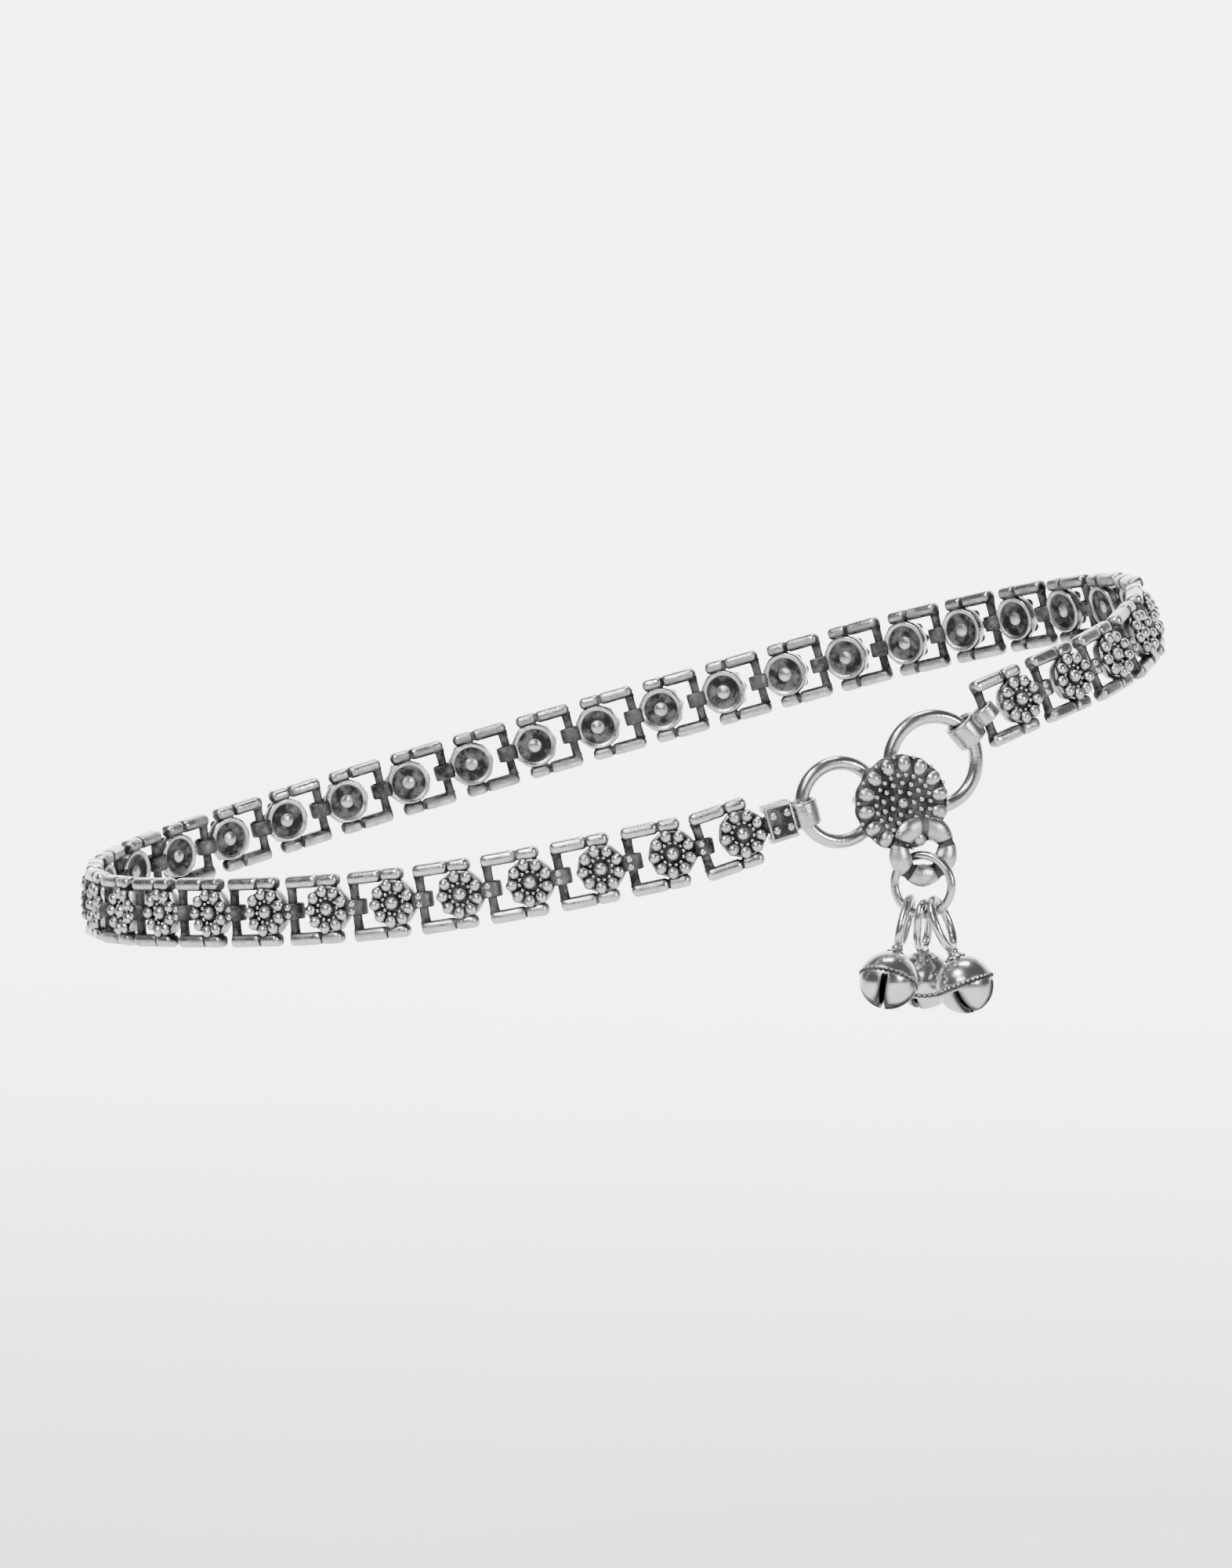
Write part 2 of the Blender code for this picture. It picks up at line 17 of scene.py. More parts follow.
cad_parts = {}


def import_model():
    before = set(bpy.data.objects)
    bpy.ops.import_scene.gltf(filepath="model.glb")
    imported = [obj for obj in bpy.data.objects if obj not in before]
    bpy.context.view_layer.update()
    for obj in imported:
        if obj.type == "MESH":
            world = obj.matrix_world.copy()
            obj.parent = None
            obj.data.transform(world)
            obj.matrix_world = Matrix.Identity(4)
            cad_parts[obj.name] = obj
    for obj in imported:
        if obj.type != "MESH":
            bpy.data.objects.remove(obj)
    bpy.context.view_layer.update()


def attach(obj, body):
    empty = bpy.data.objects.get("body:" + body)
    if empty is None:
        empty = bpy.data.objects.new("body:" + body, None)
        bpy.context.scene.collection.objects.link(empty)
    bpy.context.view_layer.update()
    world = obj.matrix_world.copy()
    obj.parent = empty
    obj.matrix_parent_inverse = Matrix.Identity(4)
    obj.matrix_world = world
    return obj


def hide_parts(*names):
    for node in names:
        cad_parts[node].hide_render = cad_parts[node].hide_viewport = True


LOG = logging.getLogger("payal")
MM = 0.001
GRAIN_SEGMENTS = 10
GRAIN_RINGS = 6
HALVINGS = 40
ACROSS = Vector((0, 1, 0))
OUTLINE = list[tuple[float, float]]


class Body(Enum):
    """The rigid bodies that the pieces ride on."""

    ANKLET = "anklet"
    DROP = "drop"


class Slot(Enum):
    """The record's material slots."""

    BAND = "oxidised_silver"
    WIRE = "polished_wire"
    BELLS = "polished_bells"


class BandStretch(Enum):
    """The four stretches that the band is dressed in: first and last link of each."""

    FRONT = (1, 9)
    FAR_SIDE = (10, 19)
    HEEL = (20, 28)
    NEAR_SIDE = (29, 38)


def to_frame(origin: Sequence[float], along: Sequence[float], up: Sequence[float]) -> Matrix:
    """A frame with x along, z as near to up as it can be, and y the third direction.

    Args:
        origin: Where the frame stands, in millimetres.
        along: The direction of x.
        up: The direction that z leans to.

    Returns:
        The frame as a 4 by 4 matrix in millimetres.
    """
    x = Vector(along).normalized()
    z = (Vector(up) - x * x.dot(Vector(up))).normalized()
    made = Matrix((x, z.cross(x), z)).transposed().to_4x4()
    made.translation = Vector(origin)
    return made


def facing_frame(centre: Sequence[float]) -> Matrix:
    """A frame whose z looks outward (-y) and whose x stays along the band."""
    return to_frame(centre, (1, 0, 0), (0, -1, 0))


class Shape:
    """A mesh under construction, in millimetres, with an oxide and shade value on every vertex.

    It is 0 on a bright rubbed crest and 1 where black: oxide in the real hollows, and painted shade on some
    backs, joints and the bells.
    """

    def __init__(self) -> None:
        """Start with no faces."""
        self.points: list[Vector] = []
        self.faces: list[tuple[int, ...]] = []
        self.patina: list[float] = []

    def add(
        self,
        points: Sequence[Vector],
        faces: Sequence[tuple[int, ...]],
        patina: Sequence[float],
        at: Matrix | None = None,
    ) -> "Shape":
        """Add a closed shell.

        Args:
            points: The shell's vertices.
            faces: Its faces, by vertex number.
            patina: One value a vertex.
            at: Where the shell goes.

        Returns:
            This shape.
        """
        start = len(self.points)
        self.points.extend((at @ p) if at is not None else p.copy() for p in points)
        self.faces.extend(tuple(start + i for i in face) for face in faces)
        self.patina.extend(patina)
        return self

    def join(self, other: "Shape", at: Matrix | None = None) -> "Shape":
        """Add another shape, moved by a matrix."""
        return self.add(other.points, other.faces, other.patina, at)

    def to_object(self, name: str) -> bpy.types.Object:
        """Make the Blender object, in metres and shaded smooth.

        Args:
            name: The object's name.

        Returns:
            The new object, linked to the scene.
        """
        mesh = bpy.data.meshes.new(name)
        mesh.from_pydata([p * MM for p in self.points], [], self.faces)
        work = bmesh.new()
        work.from_mesh(mesh)
        bmesh.ops.recalc_face_normals(work, faces=work.faces)
        work.to_mesh(mesh)
        work.free()
        layer = mesh.attributes.new("patina", "FLOAT", "POINT")
        layer.data.foreach_set("value", self.patina)
        mesh.polygons.foreach_set("use_smooth", [True] * len(mesh.polygons))
        mesh.update()
        return scene_object(name, mesh)


def scene_object(name: str, data: bpy.types.ID) -> bpy.types.Object:
    """Make an object.

    Args:
        name: Its name.
        data: The mesh, camera or light that it holds.

    Returns:
        The new object, linked to the scene.
    """
    obj = bpy.data.objects.new(name, data)
    bpy.context.scene.collection.objects.link(obj)
    return obj


def lathe(
    profile: OUTLINE,
    patina: Callable[[float, float], float],
    sides: int,
    scallop: Callable[[float, float], float] | None = None,
) -> Shape:
    """Turn a profile about z.

    Args:
        profile: (radius, height) pairs that start and end on the axis.
        patina: Gives the patina of a (radius, height).
        sides: Steps round the axis.
        scallop: Gives the share of the radius kept at a (turn, radius).

    Returns:
        The closed shell.
    """
    points: list[Vector] = []
    shade: list[float] = []
    rows: list[list[int]] = []
    for radius, height in profile:
        row = []
        for j in range(1 if radius == 0 else sides):
            turn = 2 * math.pi * j / sides
            reach = radius * (scallop(turn, radius) if scallop else 1.0)
            row.append(len(points))
            points.append(Vector((reach * math.cos(turn), reach * math.sin(turn), height)))
            shade.append(patina(radius, height))
        rows.append(row)
    faces = []
    for one, two in zip(rows, rows[1:]):
        for j in range(sides):
            k = (j + 1) % sides
            face = [one[j % len(one)], one[k % len(one)], two[k % len(two)], two[j % len(two)]]
            faces.append(tuple(dict.fromkeys(face)))
    return Shape().add(points, faces, shade)


def sweep(
    path: Sequence[Vector],
    section: Callable[[float, float], tuple[float, float]],
    patina: Callable[[float, float], float],
    sides: int,
    closed: bool = True,
    across: Vector = ACROSS,
) -> Shape:
    """Run a section along a flat path.

    Args:
        path: The points of the path.
        section: Gives (in plane, across) of the section at a (share along, turn).
        patina: Gives the patina at a (share along, turn).
        sides: Steps round the section.
        closed: Whether the path is a loop.
        across: The unit vector across the path's plane.

    Returns:
        The closed shell.
    """
    count = len(path)
    points: list[Vector] = []
    shade: list[float] = []
    for i, point in enumerate(path):
        share = i / count if closed else i / (count - 1)
        before = path[i - 1] if (closed or i > 0) else path[i]
        after = path[(i + 1) % count] if (closed or i < count - 1) else path[i]
        side = across.cross((after - before).normalized()).normalized()
        for j in range(sides):
            turn = 2 * math.pi * j / sides
            wide, thick = section(share, turn)
            points.append(point + side * wide + across * thick)
            shade.append(patina(share, turn))
    faces: list[tuple[int, ...]] = []
    for i in range(count if closed else count - 1):
        n = (i + 1) % count
        for j in range(sides):
            k = (j + 1) % sides
            faces.append((i * sides + j, i * sides + k, n * sides + k, n * sides + j))
    if not closed:
        faces.append(tuple(range(sides)))
        faces.append(tuple((count - 1) * sides + j for j in range(sides)))
    return Shape().add(points, faces, shade)


def round_section(radius: float) -> Callable[[float, float], tuple[float, float]]:
    """A round section of one radius."""
    return lambda share, turn: (radius * math.cos(turn), radius * math.sin(turn))


def even(patina: float) -> Callable[[float, float], float]:
    """One patina all over a shell."""
    return lambda along, around: patina


def steps_round(steps: int) -> list[float]:
    """Equal angles once round."""
    return [2 * math.pi * i / steps for i in range(steps)]


def oval(half_width: float, half_height: float, steps: int) -> list[Vector]:
    """Points of an ellipse on the local x and z directions."""
    return [Vector((half_width * math.cos(t), 0.0, half_height * math.sin(t))) for t in steps_round(steps)]


def bell_curve(value: float, width: float, power: int = 2) -> float:
    """1 at nought, falling to near 0 past the width; a higher power makes its top flatter."""
    return math.exp(-((value / width) ** power))


def squarer(value: float, power: float = 0.5) -> float:
    """Push a cosine or sine outward, so that a round section becomes a soft square."""
    return math.copysign(abs(value) ** power, value)


def profile_rows(radius: float, level: float, rows: OUTLINE) -> OUTLINE:
    """A profile's rows from shares of a radius and rises over a level."""
    return [(share * radius, level + rise) for share, rise in rows]


def scallops(count: int, start: float, depth: float = 0.03) -> Callable[[float, float], float]:
    """A rim that is drawn in between its lobes, past the radius where it starts."""
    return lambda turn, r: 1.0 - depth * (r > start) * (1 + math.cos(count * turn)) / 2


def soft_box(low: Sequence[float], high: Sequence[float], edge: float, patina: float) -> Shape:
    """A box with rounded edges.

    Args:
        low: Its lowest corner.
        high: Its highest corner.
        edge: The radius of its edges.
        patina: The patina of its faces, whose edges are rubbed brighter.

    Returns:
        The closed shell, its vertices and faces sorted because the bevel gives them in no fixed order.
    """
    work = bmesh.new()
    bmesh.ops.create_cube(work, size=1.0)
    for vert in work.verts:
        vert.co = Vector(high[i] if vert.co[i] > 0 else low[i] for i in range(3))
    bmesh.ops.bevel(work, geom=list(work.edges), offset=edge, segments=3, profile=0.5, affect="EDGES")
    wide = [f for f in work.faces if min(e.calc_length() for e in f.edges) > 2.5 * edge]
    bmesh.ops.inset_individual(work, faces=wide, thickness=edge, use_even_offset=True)
    inner = {vert for face in wide for vert in face.verts}
    verts = sorted(work.verts, key=lambda vert: tuple(vert.co))
    place = {vert: i for i, vert in enumerate(verts)}
    faces = []
    for face in work.faces:
        corners = [place[vert] for vert in face.verts]
        first = corners.index(min(corners))
        faces.append(tuple(corners[first:] + corners[:first]))
    shade = [patina if vert in inner else patina * 0.25 for vert in verts]
    made = Shape().add([vert.co.copy() for vert in verts], sorted(faces), shade)
    work.free()
    return made


def collar_tube(inner: float, outer: float, half_height: float, sides: int, patina: float) -> Shape:
    """A short tube about z with rounded rims.

    Args:
        inner: The radius of its hole.
        outer: Its outer radius.
        half_height: Half of its height.
        sides: Steps round it.
        patina: The patina inside; the outside is brighter.

    Returns:
        The closed shell.
    """
    wall = (outer - inner) / 2
    centre = inner + wall
    path = [Vector((centre * math.cos(t), centre * math.sin(t), 0)) for t in steps_round(sides)]

    def section(share: float, turn: float) -> tuple[float, float]:
        """The soft square section."""
        return squarer(math.cos(turn)) * wall, squarer(math.sin(turn)) * half_height

    def shade(share: float, turn: float) -> float:
        """Brighter outside than inside."""
        return patina * (0.84 + 0.16 * math.cos(turn))

    return sweep(path, section, shade, sides=12, across=Vector((0, 0, 1)))


@dataclass(frozen=True)
class GrainRing:
    """A ring of soldered grains, made by Geometry Nodes about its own z axis.

    Attributes:
        count: Grains in the ring.
        ring: Radius of the ring.
        grain: Radius of a grain.
        stretch: How much longer a grain is along the ring's radius.
        lift: How much taller a grain is along the axis.
        level: Height of the grains' centres.
        start: Angle of the first grain, in degrees.
    """

    count: int
    ring: float
    grain: float
    stretch: float = 1.0
    lift: float = 1.0
    level: float = 0.0
    start: float = 0.0

    def shape(self, node_tree: bpy.types.NodeTree) -> Shape:
        """Grow the ring.

        Args:
            node_tree: The grain ring's node tree.

        Returns:
            The grains as a shape in millimetres.
        """
        holder = scene_object("grain_holder", bpy.data.meshes.new("grain_holder"))
        values = {
            "Count": self.count,
            "Ring Radius": self.ring * MM,
            "Grain Radius": self.grain * MM,
            "Stretch": self.stretch,
            "Lift": self.lift,
            "Level": self.level * MM,
            "Start": math.radians(self.start),
        }
        return read_shape(grow(holder, node_tree, values))


def plain_mesh(obj: bpy.types.Object) -> bpy.types.Mesh:
    """A new mesh that holds an object as its modifiers leave it."""
    graph = bpy.context.evaluated_depsgraph_get()
    return bpy.data.meshes.new_from_object(obj.evaluated_get(graph))


def grow(holder: bpy.types.Object, tree: bpy.types.NodeTree, values: dict[str, object]) -> bpy.types.Mesh:
    """Run a Geometry Nodes tree on an object, and remove the object.

    Args:
        holder: The object that the tree works on.
        tree: The tree.
        values: Its inputs by name, each set by its socket's identifier.

    Returns:
        The plain mesh that the tree makes.
    """
    step = holder.modifiers.new("grow", "NODES")
    step.node_group = tree
    for item in tree.interface.items_tree:
        if item.item_type == "SOCKET" and item.in_out == "INPUT" and item.name in values:
            step[item.identifier] = values[item.name]
    made = plain_mesh(holder)
    bpy.data.objects.remove(holder)
    return made


def read_shape(mesh: bpy.types.Mesh) -> Shape:
    """Turn a mesh into a shape, and remove the mesh.

    Args:
        mesh: The mesh, in metres.

    Returns:
        Its shape in millimetres, its patina with it.
    """
    layer = mesh.attributes.get("patina")
    shade = [0.0] * len(mesh.vertices)
    if layer is not None:
        layer.data.foreach_get("value", shade)
    points = [v.co / MM for v in mesh.vertices]
    faces = [tuple(p.vertices) for p in mesh.polygons]
    bpy.data.meshes.remove(mesh)
    return Shape().add(points, faces, shade)


class TreeBuilder:
    """Adds nodes to a node tree, one node a call."""

    def __init__(self, tree: bpy.types.NodeTree) -> None:
        """Work on a tree."""
        self.tree = tree

    def feed(self, socket: bpy.types.NodeSocket, value: object) -> None:
        """Link an input to another node's output, or set its constant.

        Args:
            socket: The input.
            value: The output, or the constant.
        """
        if isinstance(value, bpy.types.NodeSocket):
            self.tree.links.new(value, socket)
        else:
            socket.default_value = value

    def node(
        self, kind: str, inputs: dict[str | int, object] | None = None, **settings: object
    ) -> bpy.types.Node:
        """Add a node.

        Args:
            kind: The node's type.
            inputs: What feeds each input, by its name or number: a socket or a constant.
            **settings: The node's properties.

        Returns:
            The new node.
        """
        made = self.tree.nodes.new(kind)
        for key, value in settings.items():
            setattr(made, key, value)
        for key, value in (inputs or {}).items():
            self.feed(made.inputs[key], value)
        return made

    def math(self, operation: str, *values: object) -> bpy.types.NodeSocket:
        """The value of a Math node on sockets and numbers."""
        return self.node("ShaderNodeMath", dict(enumerate(values)), operation=operation).outputs[0]

    def spread(self, value: bpy.types.NodeSocket, **ends: float) -> bpy.types.NodeSocket:
        """The value of a Map Range node, its ends named as on the node, with _ for a space."""
        inputs = {key.replace("_", " "): end for key, end in ends.items()}
        return self.node("ShaderNodeMapRange", {"Value": value, **inputs}).outputs["Result"]

    def noise(self, place: bpy.types.NodeSocket, **settings: float) -> bpy.types.NodeSocket:
        """The value of a Noise Texture node, its inputs named as on the node."""
        return self.node("ShaderNodeTexNoise", {"Vector": place, **settings}).outputs["Fac"]

    def mix(self, share: bpy.types.NodeSocket, one: object, two: object) -> bpy.types.NodeSocket:
        """A colour between two."""
        inputs = {"Factor": share, "A": one, "B": two}
        return self.node("ShaderNodeMix", inputs, data_type="RGBA").outputs["Result"]


class GeometryTree(TreeBuilder):
    """A Geometry Nodes tree with named inputs."""

    def __init__(self, name: str, inputs: Sequence[tuple[str, str, object]]) -> None:
        """Start the tree.

        Args:
            name: Its name.
            inputs: Name, kind of socket and default of each input.
        """
        super().__init__(bpy.data.node_groups.new(name, "GeometryNodeTree"))
        panel = self.tree.interface
        panel.new_socket("Geometry", in_out="OUTPUT", socket_type="NodeSocketGeometry")
        for label, kind, default in inputs:
            socket = panel.new_socket(label, in_out="INPUT", socket_type="NodeSocket" + kind)
            if default is not None:
                socket.default_value = default
        self.given = self.node("NodeGroupInput").outputs

    def store(
        self, geometry: bpy.types.NodeSocket, name: str, value: object, domain: str
    ) -> bpy.types.NodeSocket:
        """Store a named attribute.

        Args:
            geometry: What carries it.
            name: Its name.
            value: Its value.
            domain: POINT or INSTANCE.

        Returns:
            The geometry with the attribute on it.
        """
        inputs = {"Geometry": geometry, "Name": name, "Value": value}
        settings = {"data_type": "FLOAT", "domain": domain}
        return self.node("GeometryNodeStoreNamedAttribute", inputs, **settings).outputs[0]

    def finish(self, geometry: bpy.types.NodeSocket, finish: bpy.types.Material) -> bpy.types.NodeTree:
        """End the tree in Realize Instances and Set Material.

        Args:
            geometry: What the tree makes.
            finish: The material that it gets.

        Returns:
            The finished tree.
        """
        real = self.node("GeometryNodeRealizeInstances", {0: geometry})
        dressed = self.node("GeometryNodeSetMaterial", {"Geometry": real.outputs[0], "Material": finish})
        self.node("NodeGroupOutput", {0: dressed.outputs[0]})
        return self.tree


def grain_ring_tree(finish: bpy.types.Material) -> bpy.types.NodeTree:
    """The node tree that sets grains round a circle, bright on top and dark at their feet.

    Args:
        finish: The grains' material.

    Returns:
        The tree.
    """
    lengths = [(name, "Float", 0.0) for name in ("Ring Radius", "Grain Radius", "Level", "Start")]
    shares = [(name, "Float", 1.0) for name in ("Stretch", "Lift")]
    build = GeometryTree("grain_ring", [("Count", "Int", 1), *lengths, *shares])
    given = build.given
    radius = given["Grain Radius"]
    sphere = {"Segments": GRAIN_SEGMENTS, "Rings": GRAIN_RINGS, "Radius": radius}
    grain = build.node("GeometryNodeMeshUVSphere", sphere)
    smooth = build.node("GeometryNodeSetShadeSmooth", {"Geometry": grain.outputs["Mesh"]})
    place = build.node("GeometryNodeInputPosition")
    height = build.node("ShaderNodeSeparateXYZ", {0: place.outputs[0]}).outputs[2]
    fall = build.spread(build.math("DIVIDE", height, radius), From_Min=0.75, From_Max=-0.25)
    toned = build.store(smooth.outputs[0], "patina", fall, "POINT")
    index = build.node("GeometryNodeInputIndex")
    step = build.math("DIVIDE", 2 * math.pi, given["Count"])
    turn = build.math("ADD", build.math("MULTIPLY", index.outputs[0], step), given["Start"])
    along, across = (
        build.math("MULTIPLY", build.math(way, turn), given["Ring Radius"]) for way in ("COSINE", "SINE")
    )
    spot = build.node("ShaderNodeCombineXYZ", {0: along, 1: across, 2: given["Level"]})
    spots = build.node("GeometryNodePoints", {"Count": given["Count"], "Position": spot.outputs[0]})
    swing = build.node("ShaderNodeCombineXYZ", {2: turn})
    size = build.node("ShaderNodeCombineXYZ", {0: given["Stretch"], 1: 1.0, 2: given["Lift"]})
    seats = {
        "Points": spots.outputs[0],
        "Instance": toned,
        "Rotation": swing.outputs[0],
        "Scale": size.outputs[0],
    }
    return build.finish(build.node("GeometryNodeInstanceOnPoints", seats).outputs[0], finish)


def band_tree(finish: bpy.types.Material) -> bpy.types.NodeTree:
    """The node tree that sets a plaque on each station of the band.

    Args:
        finish: The plaques' material.

    Returns:
        The tree. Its geometry input holds the stations, turned by their "turn" attribute.
    """
    inputs = [("Stations", "Geometry", None), ("Plaque", "Object", None), ("Wear Seed", "Int", 7)]
    build = GeometryTree("linked_band", inputs)
    given = build.given
    plaque = build.node("GeometryNodeObjectInfo", {"Object": given["Plaque"]}, transform_space="ORIGINAL")
    turn = build.node("GeometryNodeInputNamedAttribute", {"Name": "turn"}, data_type="FLOAT_VECTOR")
    seats = {
        "Points": given["Stations"],
        "Instance": plaque.outputs["Geometry"],
        "Rotation": turn.outputs[0],
    }
    seat = build.node("GeometryNodeInstanceOnPoints", seats)
    chance = build.node("FunctionNodeRandomValue", {"Seed": given["Wear Seed"]}, data_type="FLOAT")
    worn = build.store(seat.outputs[0], "wear", chance.outputs[1], "INSTANCE")
    return build.finish(worn, finish)


class MaterialTree(TreeBuilder):
    """A procedural material, its patterns on Object coordinates."""

    def __init__(self, name: str) -> None:
        """Start the material."""
        self.material = bpy.data.materials.new(name)
        self.material.use_nodes = True
        super().__init__(self.material.node_tree)
        self.place = self.node("ShaderNodeTexCoord").outputs["Object"]

    def attribute(self, name: str) -> bpy.types.NodeSocket:
        """The value of a named attribute."""
        return self.node("ShaderNodeAttribute", attribute_name=name).outputs["Fac"]

    def finish(self, surface: dict[str, object]) -> bpy.types.Material:
        """Feed the surface.

        Args:
            surface: What feeds each input of the Principled BSDF, by its name.

        Returns:
            The finished material.
        """
        shader = self.tree.nodes["Principled BSDF"]
        for name, value in surface.items():
            self.feed(shader.inputs[name], value)
        return self.material


@dataclass(frozen=True)
class Finish:
    """What every metal finish shares.

    Attributes:
        name: The material's name.
        bright: Colour of the rubbed metal.
        dark: Colour of the oxidised recesses and of the painted shade.
        bright_rough: Roughness of the rubbed metal.
        dark_rough: Roughness of the recesses.
        tarnish: How far blotches of tarnish dull the bright metal.
        tarnish_scale: How fine the blotches are, in steps a metre.
        scratch: Strength of the fine scratches.
        recess: Where between 0 and 1 the oxide and painted shade value turns the metal dark.
        unevenness: How far the blotches move that border.
        spread: How far one plaque differs from the next.
        film_shade: Brightness of the tarnish film beside the rubbed metal.
        film_rough: Roughness that the film adds.
        scratch_steps: Scratches a metre along three turned axes.
        scratch_turn: How those axes are turned, in radians.
        scratch_depth: Depth of the scratches in metres.
        grit: Steps of cast grain a metre.
    """

    name: str
    bright: tuple[float, float, float]
    dark: tuple[float, float, float]
    bright_rough: float
    dark_rough: float
    tarnish: float
    tarnish_scale: float
    scratch: float
    recess: float = 0.5
    unevenness: float = 0.5
    spread: float = 0.12
    film_shade: float = 0.55
    film_rough: float = 0.35
    scratch_steps: tuple[float, float, float] = (260.0, 1500.0, 4200.0)
    scratch_turn: tuple[float, float, float] = (0.35, 0.2, 0.5)
    scratch_depth: float = 0.00006
    grit: float = 5200.0

    def material(self) -> bpy.types.Material:
        """Build the procedural material.

        Returns:
            The material, all of its patterns on Object coordinates and the two attributes.
        """
        build = MaterialTree(self.name)
        blotch = build.noise(build.place, Scale=self.tarnish_scale, Detail=6.0, Roughness=0.6)
        uneven = build.math("MULTIPLY_ADD", blotch, self.unevenness, build.attribute("patina"))
        wear_oxide_and_shade = build.math("MULTIPLY_ADD", build.attribute("wear"), self.spread, uneven)
        border = {"Value": wear_oxide_and_shade, "From Min": self.recess + 0.05, "From Max": self.recess + 0.55}
        edge = build.node("ShaderNodeMapRange", border, interpolation_type="SMOOTHSTEP").outputs["Result"]
        # The dark colour paints the oxide in hollows and, where the vertex value holds it, painted shade.
        metal = build.mix(edge, (*self.bright, 1.0), (*self.dark, 1.0))
        film = build.spread(blotch, From_Min=0.45, From_Max=0.75, To_Max=self.tarnish)
        rough = build.spread(edge, To_Min=self.bright_rough, To_Max=self.dark_rough)
        surface = {
            "Metallic": 1.0,
            "Base Color": build.mix(film, metal, (*[c * self.film_shade for c in self.bright], 1.0)),
            "Roughness": build.math("MULTIPLY_ADD", film, self.film_rough, rough),
            "Normal": self._relief(build),
        }
        return build.finish(surface)

    def _relief(self, build: MaterialTree) -> bpy.types.NodeSocket:
        """Cast grain and fine scratches as bump.

        Args:
            build: The material's tree.

        Returns:
            The bumped normal.
        """
        pull = {"Vector": build.place, "Scale": self.scratch_steps, "Rotation": self.scratch_turn}
        pulled = build.node("ShaderNodeMapping", pull).outputs["Vector"]
        lines = build.noise(pulled, Scale=1.0, Detail=4.0)
        height = build.math("ADD", lines, build.noise(build.place, Scale=self.grit, Detail=3.0))
        bump = {"Strength": self.scratch, "Distance": self.scratch_depth, "Height": height}
        return build.node("ShaderNodeBump", bump).outputs["Normal"]


PLAQUE_SILVER = Finish(
    name="plaque_oxidised_silver",
    bright=(0.46, 0.457, 0.451),
    dark=(0.02, 0.0195, 0.019),
    bright_rough=0.22,
    dark_rough=0.55,
    tarnish=0.75,
    tarnish_scale=900.0,
    scratch=0.35,
)
CLASP_SILVER = Finish(
    name="clasp_oxidised_silver",
    bright=(0.41, 0.408, 0.402),
    dark=(0.025, 0.0245, 0.024),
    bright_rough=0.26,
    dark_rough=0.58,
    tarnish=0.75,
    tarnish_scale=700.0,
    scratch=0.35,
)
WIRE_SILVER = Finish(
    name="ring_polished_silver",
    bright=(0.44, 0.438, 0.432),
    dark=(0.06, 0.059, 0.057),
    bright_rough=0.17,
    dark_rough=0.45,
    tarnish=0.35,
    tarnish_scale=420.0,
    scratch=0.2,
    recess=0.62,
)
BELL_SILVER = Finish(
    name="bell_polished_silver",
    bright=(0.5, 0.497, 0.49),
    dark=(0.02, 0.0195, 0.019),
    bright_rough=0.15,
    dark_rough=0.5,
    tarnish=0.35,
    tarnish_scale=360.0,
    scratch=0.16,
    recess=0.45,
)


@dataclass
class Workshop:
    """The finishes and node trees that the sub-assemblies share."""

    plaque: bpy.types.Material = field(default_factory=PLAQUE_SILVER.material)
    clasp: bpy.types.Material = field(default_factory=CLASP_SILVER.material)
    wire: bpy.types.Material = field(default_factory=WIRE_SILVER.material)
    bell: bpy.types.Material = field(default_factory=BELL_SILVER.material)
    grains: bpy.types.NodeTree = field(init=False)
    band: bpy.types.NodeTree = field(init=False)

    def __post_init__(self) -> None:
        """Make each node tree once."""
        self.grains = grain_ring_tree(self.plaque)
        self.band = band_tree(self.plaque)

    def solder(self, made: Shape, *rings: GrainRing, at: Matrix | None = None) -> Shape:
        """Join rings of grains to a shape.

        Args:
            made: The shape.
            *rings: The rings.
            at: Where they go.

        Returns:
            The same shape.
        """
        for ring in rings:
            made.join(ring.shape(self.grains), at)
        return made


def dress(
    obj: bpy.types.Object, finish: bpy.types.Material, body: Body, slot: Slot, nodes: Sequence[str]
) -> bpy.types.Object:
    """Give a finished piece its material and body, and hide the nodes that it stands for.

    Args:
        obj: The piece.
        finish: Its material.
        body: The body that it rides on.
        slot: The record's slot. Not used.
        nodes: The nodes that it replaces.

    Returns:
        The piece.
    """
    obj.data.materials.clear()
    obj.data.materials.append(finish)
    obj.data.polygons.foreach_set("material_index", [0] * len(obj.data.polygons))
    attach(obj, body.value)
    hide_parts(*nodes)
    LOG.info("%s: %d faces, stands for %d nodes", obj.name, len(obj.data.polygons), len(nodes))
    return obj


@dataclass(frozen=True)
class Play:
    """Pin, hook tube and clearance sizes that the band and the end caps share."""

    pin: float = 0.45
    play: float = 0.38
    gap: float = 0.34
    wall: float = 0.4
    half_height: float = 0.75

    @property
    def hole(self) -> float:
        """Radius of a hook tube's hole."""
        return self.pin + self.play

    @property
    def outer(self) -> float:
        """Outer radius of a hook tube."""
        return self.hole + self.wall

    @property
    def clear(self) -> float:
        """Distance from a crossbar that is clear of the hook tube round it."""
        return self.outer + self.gap


PLAY = Play()


def halve(low: float, high: float, too_low: Callable[[float], bool]) -> float:
    """Find a value by halving its range.

    Args:
        low: The range's low end.
        high: Its high end.
        too_low: Tells whether a value is too low.

    Returns:
        The value between too low and too high.
    """
    for _ in range(HALVINGS):
        middle = (low + high) / 2
        if too_low(middle):
            low = middle
        else:
            high = middle
    return (low + high) / 2


